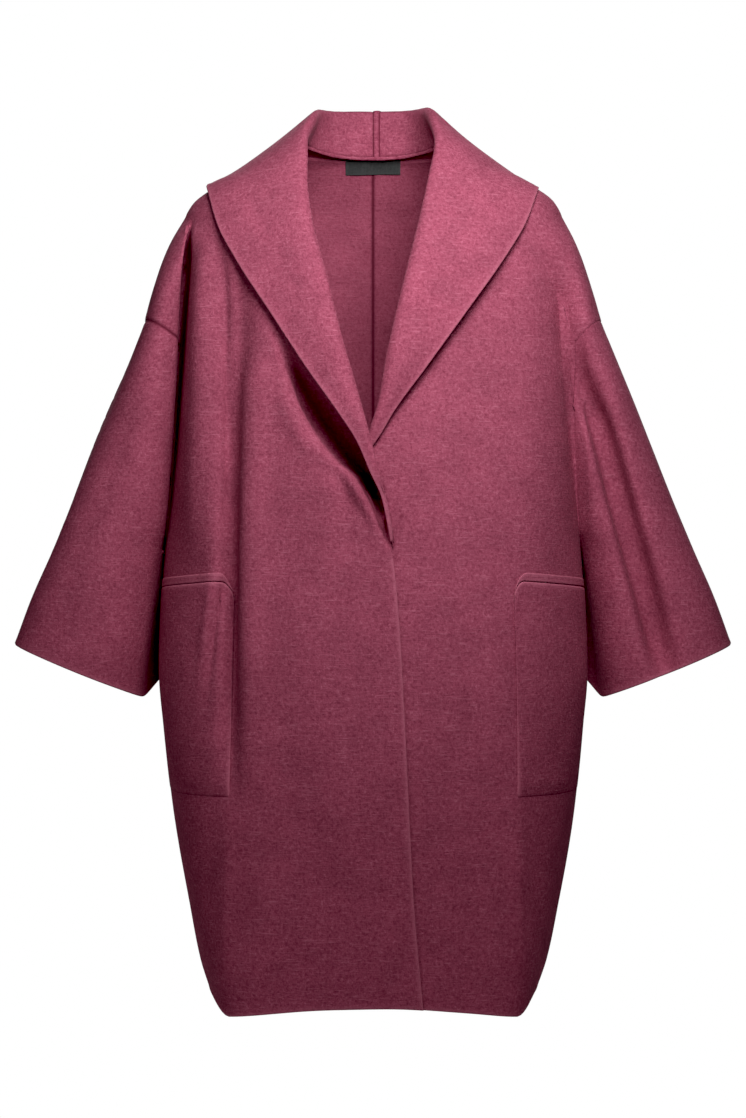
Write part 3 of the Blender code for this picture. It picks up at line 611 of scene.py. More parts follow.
@dataclass(frozen=True)
class CoatForm:
    """The coat's worn form, as depths of cloth from the plane of its side seams."""

    cloth: float = 0.0024
    seam: float = 0.0003
    seam_overlap: float = 0.0001
    neck_point: float = 0.0235
    back_neck: float = 0.016
    back_neck_half_width: float = 0.0790
    back_neck_curve: float = 2.4
    shoulder_end: float = -0.185
    armhole_in_valley: float = -0.2124
    underarm: float = -0.455
    hem: float = -0.975
    hem_drop: float = 0.012
    hem_drop_at: float = 0.165
    hem_drop_start: float = -0.800
    hem_rise: float = 0.020
    valley_start: float = -0.065
    valley_full: float = -0.110
    parting_start: float = -0.082
    parting_full: float = -0.122
    soft_right: float = 0.012
    soft_left: float = 0.042
    lap_full_at: float = 0.035
    lap_gone_at: float = 0.120
    settled: float = 0.03
    back_sink: float = 0.6
    sink_steepness: float = 4.0
    sink_slant: float = 0.20
    armhole_bow: float = 1.45
    outside_slope: float = 4.0
    no_sleeve: float = -1.0
    least_soft: float = 1e-6
    soft_full: float = -0.25
    section_samples: int = 420

    def torso_depth(self, half: Array, z: Array, face: Face) -> Array:
        """Depth of the body's cloth, negative past its half width.

        Args:
            half: Half widths, positive outwards.
            z: Heights.
            face: Face of the coat.

        Returns:
            The depth at each point.
        """
        front = face is Face.FRONT
        width = read(BODY, "half_width", z)
        depth = read(BODY, "front" if front else "back", z)
        square = read(BODY, "square" if front else "back_square", z)
        inside = depth * np.sqrt(np.clip(1 - (np.abs(half) / width) ** square, 0, 1))
        return np.where(half < width, inside, -self.outside_slope * (half - width))

    def sleeve_depth(self, half: Array, z: Array) -> Array:
        """Depth of the sleeve's cloth at a level cut.

        Args:
            half: Half widths, positive outwards.
            z: Heights.

        Returns:
            The depth at each point, below zero where there is no sleeve.
        """
        outer, inner = read(ARM, "outer", z), read(ARM, "inner", z)
        inside = 1 - ((half - (outer + inner) / 2) / ((outer - inner) / 2)) ** 2
        depth = read(ARM, "depth", z) * np.sqrt(np.clip(inside, 0, 1))
        return np.where(inside > 0, depth, self.no_sleeve)

    def fold_depth(self, half: Array, z: Array, face: Face, side: Side) -> Array:
        """What the large folds add to the depth.

        Args:
            half: Half widths, positive outwards.
            z: Heights.
            face: Face of the coat.
            side: Side of the wearer.

        Returns:
            The added depth at each point.
        """
        total = np.zeros(np.broadcast(half, z).shape)
        for fold in FOLDS:
            if (fold.face, fold.side) != (face, side):
                continue
            length = fold.top_z - fold.foot_z
            along = (fold.top_z - z) / length
            line = fold.top_x + (fold.foot_x - fold.top_x) * along
            fade = ease(along * length, 0, fold.ease) * ease((1 - along) * length, 0, fold.ease)
            total = total + fold.depth * fade * np.exp(-(((half - line) / fold.half_width) ** 2))
        return total

    def coat_depth(self, half: Array, z: Array, face: Face, side: Side) -> Array:
        """Depth of the cloth where body and sleeve are one, above the underarm.

        Args:
            half: Half widths, positive outwards.
            z: Heights.
            face: Face of the coat.
            side: Side of the wearer.

        Returns:
            The depth at each point.
        """
        body, arm = self.torso_depth(half, z, face), self.sleeve_depth(half, z)
        soft = self.soft_right if side is Side.RIGHT else self.soft_left
        soft = soft * ease(z, self.valley_start, self.valley_full)
        soft = soft * ease(z, self.underarm, self.soft_full)
        joined = soft_max(body, arm, np.maximum(soft, self.least_soft))
        joined = np.where((z < ARM[0].height) & (z > self.underarm), joined, body)
        if side is Side.RIGHT:
            parted = ease(z, self.parting_start, self.parting_full)
            joined = joined + (half < read(SINK[side], "half_width", z)) * parted * (body - joined)
        folded = ease(joined, 0.0, self.settled) * self.fold_depth(half, z, face, side)
        return np.maximum(joined, 0) + folded - self.sink_depth(half, z, face, side)

    def sink_depth(self, half: Array, z: Array, face: Face, side: Side) -> Array:
        """Depth of the line where the cloth turns in between body and sleeve.

        Args:
            half: Half widths, positive outwards.
            z: Heights.
            face: Face of the coat.
            side: Side of the wearer.

        Returns:
            How far the cloth is sunk at each point.
        """
        table = SINK[side]
        off = (half - read(table, "half_width", z)) / read(table, "spread", z)
        share = 1.0 if face is Face.FRONT else self.back_sink
        depth = share * read(table, "depth", z) * (z > self.underarm)
        return depth * np.exp(-np.abs(off) ** self.sink_steepness)

    def undercut(self, half: Array, z: Array, face: Face, side: Side) -> Array:
        """How far that line runs in behind the sleeve's cloth, as a half width to add."""
        return self.sink_slant * self.sink_depth(half, z, face, side)

    def arm_depth(self, half: Array, z: Array, face: Face, side: Side) -> Array:
        """Depth of the sleeve's cloth, above and below the underarm.

        Args:
            half: Half widths, positive outwards.
            z: Heights.
            face: Face of the coat.
            side: Side of the wearer.

        Returns:
            The depth at each point.
        """
        alone = np.maximum(self.sleeve_depth(half, z), 0)
        alone = alone + ease(alone, 0.0, self.settled) * self.fold_depth(half, z, face, side)
        return np.where(z > self.underarm, self.coat_depth(half, z, face, side), alone)

    def outer_edge(self, z: Array, side: Side) -> Array:
        """Half width of the panels' outer edge: shoulder seam, armhole, then side seam.

        Args:
            z: Heights.
            side: Side of the wearer.

        Returns:
            The half width at each height.
        """
        width = read(BODY, "half_width", z)
        shoulder = np.maximum(width, np.where(z < ARM[0].height, read(ARM, "outer", z), 0))
        down = (self.shoulder_end - z) / (self.shoulder_end - self.armhole_in_valley)
        start = float(read(ARM, "outer", self.shoulder_end))
        end = float(read(SINK[side], "half_width", self.armhole_in_valley))
        over_arm = start + (end - start) * np.clip(down, 0, 1) ** (1 / self.armhole_bow)
        valley = read(SINK[side], "half_width", z)
        edge = np.where(z >= self.armhole_in_valley, over_arm, valley)
        edge = np.where(z >= self.shoulder_end, shoulder, edge)
        return np.where(z > self.underarm, edge, width)

    def inner_edge(self, z: Array, face: Face, side: Side) -> Array:
        """Half width of the panels' inner edge: neckline, then front edge or centre back.

        Args:
            z: Heights.
            face: Face of the coat.
            side: Side of the wearer.

        Returns:
            The half width at each height, below zero past the middle.
        """
        if face is Face.FRONT:
            return read(INNER_EDGE[side], "half_width", z)
        rise = np.clip((z - self.back_neck) / (self.neck_point - self.back_neck), 0, 1)
        return self.back_neck_half_width * rise ** (1 / self.back_neck_curve) - self.seam_overlap

    def bowed(self, share: Array) -> Array:
        """Rise of the armhole over the arm, as shares of its whole rise at shares of its width."""
        return 1 - (1 - np.clip(share, 0, 1)) ** self.armhole_bow

    def lap_lift(self, half: Array, z: Array, face: Face, side: Side) -> Array:
        """How far the over front is moved out where it laps the under one.

        Args:
            half: Half widths, positive outwards.
            z: Heights.
            face: Face of the coat.
            side: Side of the wearer.

        Returns:
            The added depth at each point.
        """
        if (face, side) != (Face.FRONT, OVER):
            return np.zeros(np.broadcast(half, z).shape)
        return read(LAP, "lift", z) * ease(half, self.lap_gone_at, self.lap_full_at)

    def level_net(
        self, start: Array, end: Array, z: Array, rise: Array, share: Array, face: Face,
        side: Side, dense_end: bool,
    ) -> Array:
        """Points along sections of a panel.

        Args:
            start: Half width where each section starts.
            end: Half width where it ends.
            z: Height of each section at its start.
            rise: How much higher each section ends.
            share: Shares of the cloth's length at which to put points.
            face: Face of the coat.
            side: Side of the wearer.
            dense_end: Whether the cloth turns sharply towards the end.

        Returns:
            A net, one row for each section.
        """
        t = np.linspace(0, 1, self.section_samples)
        spread = np.sin(t * np.pi / 2) if dense_end else t
        half = start[:, None] + (end - start)[:, None] * spread
        level = z[:, None] + rise[:, None] * self.bowed(spread)
        depth = self.coat_depth(half, level, face, side) + self.lap_lift(half, level, face, side)
        steps = np.hypot(np.diff(half, axis=1), np.diff(depth, axis=1))
        length = np.insert(np.cumsum(steps, axis=1), 0, 0.0, axis=1)
        at = np.stack([np.interp(share * row[-1], row, value) for row, value in zip(length, half)])
        deep = np.stack([np.interp(share * row[-1], row, value) for row, value in zip(length, depth)])
        height = z[:, None] + rise[:, None] * self.bowed((at - start[:, None]) / (end - start)[:, None])
        at = at + self.undercut(at, height, face, side)
        hem_width = float(read(BODY, "half_width", self.hem))
        drop = self.hem_drop * np.clip(np.abs(at) / self.hem_drop_at, 0, 1) ** 2
        drop = drop - self.hem_rise * ease(np.abs(at), self.hem_drop_at, hem_width)
        height = height - drop * ease(z, self.hem_drop_start, self.hem)[:, None]
        return np.stack([side.value * at, face.value * deep, height], axis=-1)


@dataclass(frozen=True)
class Relief:
    """What the cloth's small creases and its unevenness add to the worn form."""

    creases: tuple[Crease, ...] = CREASES
    shoulder: float = 0.16
    shoulder_at: float = 2.0
    shoulder_width: float = 0.8
    dent_fade: float = 0.03
    wave_height: float = 0.0011
    wave_count: int = 9
    widest: float = 0.26
    narrowest: float = 0.075
    slenderness: float = 2.6
    seed: int = 11

    def unevenness(self, points: Array) -> Array:
        """Broad uneven swells, mostly upright, the same for pieces that meet.

        Args:
            points: Points on the cloth.

        Returns:
            How far each point is moved out.
        """
        draw = np.random.default_rng(self.seed)
        total = np.zeros(points.shape[:-1])
        for _ in range(self.wave_count):
            length = draw.uniform(self.narrowest, self.widest)
            turn, phase = draw.uniform(0, math.pi), draw.uniform(0, 2 * math.pi)
            upright = draw.normal(0, 1) / self.slenderness
            way = np.array([math.cos(turn), math.sin(turn), upright]) * 2 * math.pi / length
            total = total + np.sin(points @ way + phase)
        return self.wave_height * total / math.sqrt(self.wave_count / 2)

    def crease_height(self, points: Array, face: Face) -> Array:
        """What the hand-placed creases of one face add.

        Args:
            points: Points on the cloth.
            face: Face of the coat.

        Returns:
            How far each point is moved out.
        """
        total = np.zeros(points.shape[:-1])
        for crease in self.creases:
            if crease.face is not face:
                continue
            down = crease.run is Run.DOWN
            along, across = points[..., 2 if down else 0], points[..., 0 if down else 2]
            off = across - read(crease.points, "across", along, "along")
            width = read(crease.points, "half_width", along, "along")
            q = np.abs(off) / (width * np.where(off > 0, 1 + crease.lean, 1.0))
            shoulder = np.exp(-(((q - self.shoulder_at) / self.shoulder_width) ** 2))
            profile = np.exp(-(q**crease.steepness)) - np.where(off > 0, 0.0, self.shoulder) * shoulder
            total = total + read(crease.points, "height", along, "along") * profile
        return total

    def dented(self, points: Array) -> Array:
        """How far the collar's small dents sink it.

        Args:
            points: Points on the cloth.

        Returns:
            How far each point is moved in.
        """
        total = np.zeros(points.shape[:-1])
        for dent in DENTS:
            away = (points[..., 0] - dent.x) ** 2 + (points[..., 2] - dent.z) ** 2
            here = ease(points[..., 1] * dent.face.value, 0.0, self.dent_fade)
            total = total + here * dent.depth * np.exp(-away / dent.radius**2)
        return total

    def lift(self, points: Array, face: Face) -> Array:
        """Everything that the cloth is moved out by at some points."""
        return self.unevenness(points) + self.crease_height(points, face)


# Cloth shells


@dataclass(frozen=True)
class EdgeWork:
    """How edges are worked: turned and felled where they are free, sunk where they are sewn."""

    round_share: float = 0.7
    thin_share: float = 0.16
    bead: float = 0.14
    bead_at: float = 0.0030
    bead_width: float = 0.0030
    groove: float = 0.05
    groove_at: float = 0.0090
    groove_width: float = 0.0022
    seam_dip: float = 0.0009
    dip_share: float = 0.36
    seam_width: float = 0.0026
    # Widths of the masks: turned edges painted paler, partly wear and partly painted highlight, and painted
    # shade along the seams
    wear_and_highlight_width: float = 0.0035
    shade_width: float = 0.0022

    def half_thickness(self, cloth: float, turned: Array, sewn: Array) -> Array:
        """Half of the cloth's thickness near its edges.

        Args:
            cloth: Thickness of the cloth.
            turned: Way to the nearest turned edge.
            sewn: Way to the nearest seam.

        Returns:
            Half of the thickness at each point.
        """
        inside = 1 - np.clip(turned / (self.round_share * cloth), 0, 1)
        rounded = np.maximum(np.sqrt(np.clip(1 - inside**2, 0, 1)), self.thin_share)
        bead = self.bead * np.exp(-(((turned - self.bead_at) / self.bead_width) ** 2))
        groove = self.groove * np.exp(-(((turned - self.groove_at) / self.groove_width) ** 2))
        dip = min(self.seam_dip, self.dip_share * cloth) * np.exp(-((sewn / self.seam_width) ** 2))
        return cloth / 2 * rounded * (1 + bead - groove) - dip


@dataclass
class Shell:
    """A closed sheet of cloth between two nets of points, with what its finish reads at each point."""

    outer: Array
    inner: Array
    turned: Array
    sewn: Array
    sign: int
    ring: bool = False

    @classmethod
    def of_cloth(
        cls, net: Array, normals: Array, sign: int, cloth: float, turned: Array, sewn: Array,
        ring: bool = False, work: EdgeWork = EdgeWork(),
    ) -> "Shell":
        """Gives a net of the cloth's right side its thickness and its worked edges.

        Args:
            net: Points of the right side; a point that is not a number is left out.
            normals: Normals at the points.
            sign: Which way the net's own normals point.
            cloth: Thickness of the cloth.
            turned: Way to the nearest turned edge.
            sewn: Way to the nearest seam.
            ring: Whether the last column joins the first.
            work: How the edges are worked.

        Returns:
            The shell.
        """
        half = work.half_thickness(cloth, turned, sewn)[..., None]
        middle = net - normals * cloth / 2
        # Turned edges are painted paler, partly for wear and partly as a painted highlight; seams are painted
        # darker as painted shade
        wear_and_highlight = np.exp(-((turned / work.wear_and_highlight_width) ** 2))
        shade = np.exp(-((sewn / work.shade_width) ** 2))
        return cls(middle + normals * half, middle - normals * half, wear_and_highlight, shade, sign, ring)

    def quads(self) -> tuple[Array, Array]:
        """Corners of the shell's faces, and which of them are on its wrong side.

        Returns:
            Four corners for each face, and 1 for each face of the wrong side.
        """
        rows, columns = self.outer.shape[:2]
        index = np.arange(rows * columns).reshape(rows, columns)
        if self.ring:
            index = np.hstack([index, index[:, :1]])
        corners = [index[:-1, :-1], index[:-1, 1:], index[1:, 1:], index[1:, :-1]]
        front = np.stack(corners, axis=-1).reshape(-1, 4)
        there = ~np.isnan(self.outer[..., 0]).ravel()
        front = front[there[front].all(axis=1)]
        edges = np.stack([front, np.roll(front, -1, axis=1)], axis=-1).reshape(-1, 2)
        count = rows * columns
        rim = edges[~np.isin(edges @ (count, 1), edges @ (1, count))]
        joined = np.stack([rim[:, 1], rim[:, 0], rim[:, 0] + count, rim[:, 1] + count], axis=-1)
        faces = np.vstack([front, front[:, ::-1] + count, joined])
        wrong = np.repeat([0, 1, 0], [len(front), len(front), len(joined)])
        return (faces if self.sign > 0 else faces[:, ::-1]), wrong

    def mesh(self, name: str) -> bpy.types.Mesh:
        """The shell as a mesh, with its edge masks as attributes.

        Args:
            name: The mesh's name.

        Returns:
            The mesh, with material 0 on its right side and 1 on its wrong side.
        """
        faces, wrong = self.quads()
        points = np.vstack([self.outer.reshape(-1, 3), self.inner.reshape(-1, 3)])
        used = np.unique(faces)
        number = np.zeros(len(points), int)
        number[used] = np.arange(len(used))
        faces, points = number[faces], points[used]
        mesh = bpy.data.meshes.new(name)
        mesh.vertices.add(len(points))
        mesh.vertices.foreach_set("co", points.astype(np.float32).ravel())
        mesh.loops.add(faces.size)
        mesh.loops.foreach_set("vertex_index", np.ascontiguousarray(faces, dtype=np.int32).ravel())
        mesh.polygons.add(len(faces))
        mesh.polygons.foreach_set("loop_start", np.arange(len(faces), dtype=np.int32) * 4)
        mesh.polygons.foreach_set("material_index", wrong.astype(np.int32))
        for label, mask in zip(EDGE_MASKS, (self.turned, self.sewn)):
            layer = mesh.attributes.new(label, "FLOAT", "POINT")
            layer.data.foreach_set("value", np.tile(mask.ravel(), 2)[used].astype(np.float32))
        mesh.update(calc_edges=True)
        mesh.validate()
        mesh.shade_smooth()
        return mesh


@dataclass(frozen=True)
class Cut:
    """The flat size that a piece of cloth was cut to."""

    width: float
    length: float
    area: float
    held: str = "hung"


def place(name: str, mesh: bpy.types.Mesh, finishes: tuple[Finish, ...]) -> Piece:
    """Puts a mesh into the scene as a piece of the coat.

    Args:
        name: The piece's name.
        mesh: Its mesh.
        finishes: Materials of its right and its wrong side.

    Returns:
        The piece, riding on the coat's body.
    """
    for finish in finishes:
        mesh.materials.append(finish)
    piece = bpy.data.objects.new(name, mesh)
    bpy.context.scene.collection.objects.link(piece)
    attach(piece, BODY_NAME)
    LOG.info("made %s, %d faces", name, len(mesh.polygons))
    return piece


def sew(node: str, shell: Shell, finishes: tuple[Finish, ...], cut: Cut, **beside: list) -> None:
    """Puts a cut piece of wool in its solid's place.

    Args:
        node: The solid's node, which the piece is named after.
        shell: The piece's shell.
        finishes: Materials of its right and its wrong side.
        cut: The flat size that it was cut to; not used.
    """
    piece = place(f"{node}_cloth", shell.mesh(node), finishes)
    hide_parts(node)


# Finishes


WHOLE: Span = (0.0, 1.0)


class Noise(NamedTuple):
    """A soft noise: its scale, how detailed it is and how rough."""

    scale: float
    detail: float
    rough: float


class Shading:
    """A material's or a group's nodes, made and joined by short calls."""

    def __init__(self, tree: NodeTree) -> None:
        """Keeps the node tree that the calls work on."""
        self.tree = tree

    def add(self, kind: str, settings: dict | None = None, **inputs: object) -> Node:
        """Makes a node.

        Args:
            kind: The node's type.
            settings: Its own properties.
            **inputs: Values or sockets for its inputs, by name with _ for a space.

        Returns:
            The node.
        """
        node = self.tree.nodes.new(kind)
        for key, value in (settings or {}).items():
            setattr(node, key, value)
        for key, value in inputs.items():
            self.feed(node.inputs[key.replace("_", " ")], value)
        return node

    def feed(self, socket: Socket, value: object) -> None:
        """Joins a socket to an input, or sets the input's own value.

        Args:
            socket: The input.
            value: A socket to join to it, or a value to set.
        """
        if isinstance(value, Socket):
            self.tree.links.new(value, socket)
        else:
            socket.default_value = value

    def maths(self, operation: str, a: object, b: object = 0.0) -> Socket:
        """A sum, product or other operation on two values.

        Args:
            operation: The operation.
            a: The first one.
            b: The second one.

        Returns:
            The result.
        """
        node = self.tree.nodes.new("ShaderNodeMath")
        node.operation = operation
        self.feed(node.inputs[0], a)
        self.feed(node.inputs[1], b)
        return node.outputs[0]

    def mix(self, share: object, a: object, b: object, blend: str = "MIX") -> Socket:
        """A mix of two colours.

        Args:
            share: How much of the second one there is.
            a: The first one.
            b: The second one.
            blend: How the second one is laid on the first.

        Returns:
            The mixed colour.
        """
        node = self.tree.nodes.new("ShaderNodeMix")
        node.data_type, node.blend_type = "RGBA", blend
        for index, value in ((0, share), (6, a), (7, b)):
            self.feed(node.inputs[index], value)
        return node.outputs[2]

    def ramp(self, value: object, span: Span, to: Span = WHOLE) -> Socket:
        """A value brought from one range to another and held there."""
        ends = {"From_Min": span[0], "From_Max": span[1], "To_Min": to[0], "To_Max": to[1]}
        return self.add("ShaderNodeMapRange", None, Value=value, **ends).outputs[0]

    def total(self, *terms: tuple[Socket, float]) -> Socket:
        """A sum of values, each taken by its share.

        Args:
            *terms: Values and their shares.

        Returns:
            The sum.
        """
        value = self.maths("MULTIPLY", *terms[0])
        for term in terms[1:]:
            value = self.maths("ADD", value, self.maths("MULTIPLY", *term))
        return value

    def stretch(self, vector: object, scale: tuple[float, float, float]) -> Socket:
        """A place, scaled along each axis.

        Args:
            vector: The place.
            scale: Scale along each axis.

        Returns:
            The scaled place.
        """
        node = self.tree.nodes.new("ShaderNodeVectorMath")
        node.operation = "MULTIPLY"
        self.feed(node.inputs[0], vector)
        node.inputs[1].default_value = scale
        return node.outputs[0]

    def noise(self, vector: object, noise: Noise) -> Socket:
        """Soft noise over a place."""
        look = {"Scale": noise.scale, "Detail": noise.detail, "Roughness": noise.rough}
        return self.add("ShaderNodeTexNoise", None, Vector=vector, **look).outputs[0]


def new_group(name: str, takes: dict[str, str], gives: dict[str, str]) -> tuple[Shading, Node, Node]:
    """Starts a shader node group.

    Args:
        name: The group's name.
        takes: Its inputs and their kinds.
        gives: Its outputs and their kinds.

    Returns:
        Its nodes, its input node and its output node.
    """
    tree = bpy.data.node_groups.new(name, "ShaderNodeTree")
    for sockets, way in ((takes, "INPUT"), (gives, "OUTPUT")):
        for label, kind in sockets.items():
            tree.interface.new_socket(name=label, in_out=way, socket_type="NodeSocket" + kind)
    return Shading(tree), tree.nodes.new("NodeGroupInput"), tree.nodes.new("NodeGroupOutput")


@dataclass(frozen=True)
class HeatheredFibres:
    """Dyed fibres of several shades: fine mottling, pale crossing fibres and slow clouds of colour."""

    tufts: Noise = Noise(270.0, 2.0, 0.55)
    fine: Noise = Noise(520.0, 3.0, 0.62)
    specks: Noise = Noise(1150.0, 2.0, 0.6)
    clouds: Noise = Noise(26.0, 3.0, 0.55)
    threads: Noise = Noise(1.0, 2.0, 0.55)
    weft_scale: Place = (75.0, 75.0, 640.0)
    warp_scale: Place = (620.0, 620.0, 90.0)
    fine_share: float = 0.40
    speck_share: float = 0.18
    tuft_share: float = 0.42
    dark_grain: Span = (0.52, 0.38)
    pale_grain: Span = (0.54, 0.64)
    pale_weft: Span = (0.58, 0.74)
    pale_warp: Span = (0.60, 0.78)
    warp_share: float = 0.6
    cloud_span: Span = (0.35, 0.65)
    cloud_tones: Span = (0.93, 1.07)
    weft_nap: float = 0.5
    warp_nap: float = 0.35
    fuzz_span: Span = (0.3, 0.7)

    def group(self) -> NodeTree:
        """Makes the node group.

        Returns:
            The group, which gives the fibres' colour, the height of their nap and how fuzzy they are.
        """
        nodes, given, out = new_group(
            "heathered_fibres",
            {
                "Place": "Vector", "Base": "Color", "Pale": "Color", "Deep": "Color",
                "Mottling": "Float", "Fibres": "Float",
            },
            {"Colour": "Color", "Nap": "Float", "Fuzz": "Float"},
        )
        take = given.outputs
        tuft, fine, speck, cloud = (
            nodes.noise(take["Place"], noise) for noise in (self.tufts, self.fine, self.specks, self.clouds)
        )
        weft, warp = (
            nodes.noise(nodes.stretch(take["Place"], scale), self.threads)
            for scale in (self.weft_scale, self.warp_scale)
        )
        grain = nodes.total((fine, self.fine_share), (speck, self.speck_share), (tuft, self.tuft_share))
        dark = nodes.maths("MULTIPLY", nodes.ramp(grain, self.dark_grain), take["Mottling"])
        shade = nodes.mix(dark, take["Base"], take["Deep"])
        pale = nodes.maths("MAXIMUM", nodes.ramp(weft, self.pale_weft), nodes.ramp(grain, self.pale_grain))
        crossing = nodes.maths("MULTIPLY", nodes.ramp(warp, self.pale_warp), self.warp_share)
        pale = nodes.maths("MULTIPLY", nodes.maths("MAXIMUM", pale, crossing), take["Fibres"])
        shade = nodes.mix(pale, shade, take["Pale"])
        slow = nodes.ramp(cloud, self.cloud_span, self.cloud_tones)
        tone = nodes.add("ShaderNodeCombineColor", None, Red=slow, Green=slow, Blue=slow).outputs[0]
        nodes.feed(out.inputs["Colour"], nodes.mix(1.0, shade, tone, "MULTIPLY"))
        threads = nodes.total((weft, self.weft_nap), (warp, self.warp_nap))
        nodes.feed(out.inputs["Nap"], nodes.maths("ADD", grain, threads))
        nodes.feed(out.inputs["Fuzz"], nodes.ramp(grain, self.fuzz_span))
        return nodes.tree


@dataclass(frozen=True)
class EdgeWearHighlightAndSeamShade:
    """Edge colours: paler where turned, partly for wear and partly as a painted highlight, and darker in the
    seams as painted shade.
    """

    uneven: Span = (0.55, 1.0)

    def group(self) -> NodeTree:
        """Makes the node group.

        Returns:
            The group, which gives the cloth's colour with its paler turned edges and the painted shade in its
            seams.
        """
        nodes, given, out = new_group(
            "edge_wear_highlight_and_seam_shade",
            {
                "Colour": "Color", "Pale": "Color", "Deep": "Color",
                "Turned": "Float", "Sewn": "Float", "Fuzz": "Float",
            },
            {"Colour": "Color"},
        )
        take = given.outputs
        # Turned edges painted paler, partly wear and partly a painted highlight, uneven along the fuzz
        worn = nodes.maths("MULTIPLY", take["Turned"], nodes.ramp(take["Fuzz"], WHOLE, self.uneven))
        shade = nodes.mix(worn, take["Colour"], take["Pale"])
        # Painted shade in the seams
        nodes.feed(out.inputs["Colour"], nodes.mix(take["Sewn"], shade, take["Deep"]))
        return nodes.tree


@dataclass(frozen=True)
class ClothFinish:
    """A cloth with fibres of several shades, edges painted paler as wear and highlight, and painted shade in
    its seams; its values are those of brushed wool.
    """

    name: str
    base: Colour
    pale: Colour
    deep: Colour
    # Colour of the turned edges, partly wear and partly a painted highlight, and the painted shade in the
    # seams
    edge: Colour
    seam: Colour
    mottling: float = 0.80
    fibres: float = 0.60
    rough: Span = (0.86, 1.0)
    sheen: float = 0.06
    sheen_rough: float = 0.45
    sheen_tint: Colour = (0.92, 0.40, 0.52, 1.0)
    nap: float = 0.0007
    gloss: float = 0.15

    def surface(self, nodes: Shading, here: Socket, fibres: Node) -> tuple[Socket, Socket]:
        """What the roughness follows, and how high the cloth's surface stands."""
        return fibres.outputs["Fuzz"], fibres.outputs["Nap"]

    def make(self, heather: NodeTree, worked: NodeTree) -> Finish:
        """Makes the material.

        Args:
            heather: The group that gives the fibres' colours and nap.
            worked: The group that paints the turned edges paler, partly for wear and partly as a highlight,
                and paints shade into the seams.

        Returns:
            The material.
        """
        material = bpy.data.materials.new(self.name)
        material.use_nodes = True
        nodes = Shading(material.node_tree)
        shader = material.node_tree.nodes["Principled BSDF"]
        here = nodes.add("ShaderNodeTexCoord").outputs["Object"]
        fibres = nodes.add(
            "ShaderNodeGroup", {"node_tree": heather}, Place=here, Base=self.base, Pale=self.pale,
            Deep=self.deep, Mottling=self.mottling, Fibres=self.fibres,
        )
        turned, sewn = (
            nodes.add("ShaderNodeAttribute", {"attribute_name": mask}).outputs["Fac"] for mask in EDGE_MASKS
        )
        edges = nodes.add(
            "ShaderNodeGroup", {"node_tree": worked}, Colour=fibres.outputs["Colour"], Pale=self.edge,
            Deep=self.seam, Turned=turned, Sewn=sewn, Fuzz=fibres.outputs["Fuzz"],
        )
        uneven, height = self.surface(nodes, here, fibres)
        bump = nodes.add("ShaderNodeBump", None, Strength=1.0, Distance=self.nap, Height=height)
        for socket, value in (
            ("Base Color", edges.outputs["Colour"]), ("Roughness", nodes.ramp(uneven, WHOLE, self.rough)),
            ("Normal", bump.outputs[0]), ("Specular IOR Level", self.gloss), ("Sheen Weight", self.sheen),
            ("Sheen Roughness", self.sheen_rough), ("Sheen Tint", self.sheen_tint),
        ):
            nodes.feed(shader.inputs[socket], value)
        return material


@dataclass(frozen=True)
class TapeFinish(ClothFinish):
    """Plain woven label tape, with fine ribs across it."""

    ribs: float = 75.0
    rib_waver: float = 0.4

    def surface(self, nodes: Shading, here: Socket, fibres: Node) -> tuple[Socket, Socket]:
        """What the roughness follows, and how high the ribs and the threads stand.

        Args:
            nodes: The material's nodes.
            here: Place on the piece.
            fibres: The tape's threads.

        Returns:
            The ribs, and the height of ribs and threads.
        """
        look = {"Scale": self.ribs, "Distortion": self.rib_waver}
        ribs = nodes.add("ShaderNodeTexWave", {"bands_direction": "X"}, Vector=here, **look).outputs["Fac"]
        return ribs, nodes.maths("ADD", ribs, fibres.outputs["Nap"])


# Each finish's edge colour is partly wear and partly a painted highlight on turned edges; its seam colour is
# painted shade in the seams
FACE_WOOL = ClothFinish(
    "burgundy_wool_face",
    base=(0.300, 0.067, 0.111, 1.0), pale=(0.465, 0.142, 0.208, 1.0), deep=(0.185, 0.032, 0.059, 1.0),
    edge=(0.420, 0.120, 0.178, 1.0), seam=(0.120, 0.018, 0.035, 1.0),
)
INSIDE_WOOL = ClothFinish(
    "burgundy_wool_inside",
    base=(0.345, 0.079, 0.129, 1.0), pale=(0.490, 0.142, 0.208, 1.0), deep=(0.218, 0.037, 0.067, 1.0),
    edge=(0.400, 0.105, 0.160, 1.0), seam=(0.115, 0.017, 0.033, 1.0), mottling=0.65, fibres=0.42,
)
LABEL_TAPE = TapeFinish(
    "black_label_tape",
    base=(0.050, 0.053, 0.053, 1.0), pale=(0.070, 0.073, 0.073, 1.0), deep=(0.028, 0.029, 0.029, 1.0),
    edge=(0.070, 0.073, 0.073, 1.0), seam=(0.028, 0.029, 0.029, 1.0), mottling=0.5, fibres=0.5,
    rough=(0.5, 0.75), sheen=0.0, nap=0.00008, gloss=0.3,
)


@dataclass(frozen=True)
class Finishes:
    """The coat's materials, made once."""

    face: Finish
    inside: Finish
    tape: Finish

    @classmethod
    def make(cls) -> "Finishes":
        """Makes the shared groups and the materials."""
        heather, worked = HeatheredFibres().group(), EdgeWearHighlightAndSeamShade().group()
        return cls(*(finish.make(heather, worked) for finish in (FACE_WOOL, INSIDE_WOOL, LABEL_TAPE)))

    def cloth(self) -> tuple[bpy.types.Material, Finish]:
        """Materials of the cloth's right and wrong side."""
        return self.face, self.inside


# Sub-assemblies


# Ways from a turned edge at which its cloth has rows of points
TURNED_EDGE_WAYS = (0.0, 0.0003, 0.0007, 0.0013, 0.0021, 0.0032, 0.0048, 0.0068, 0.0092, 0.0120)


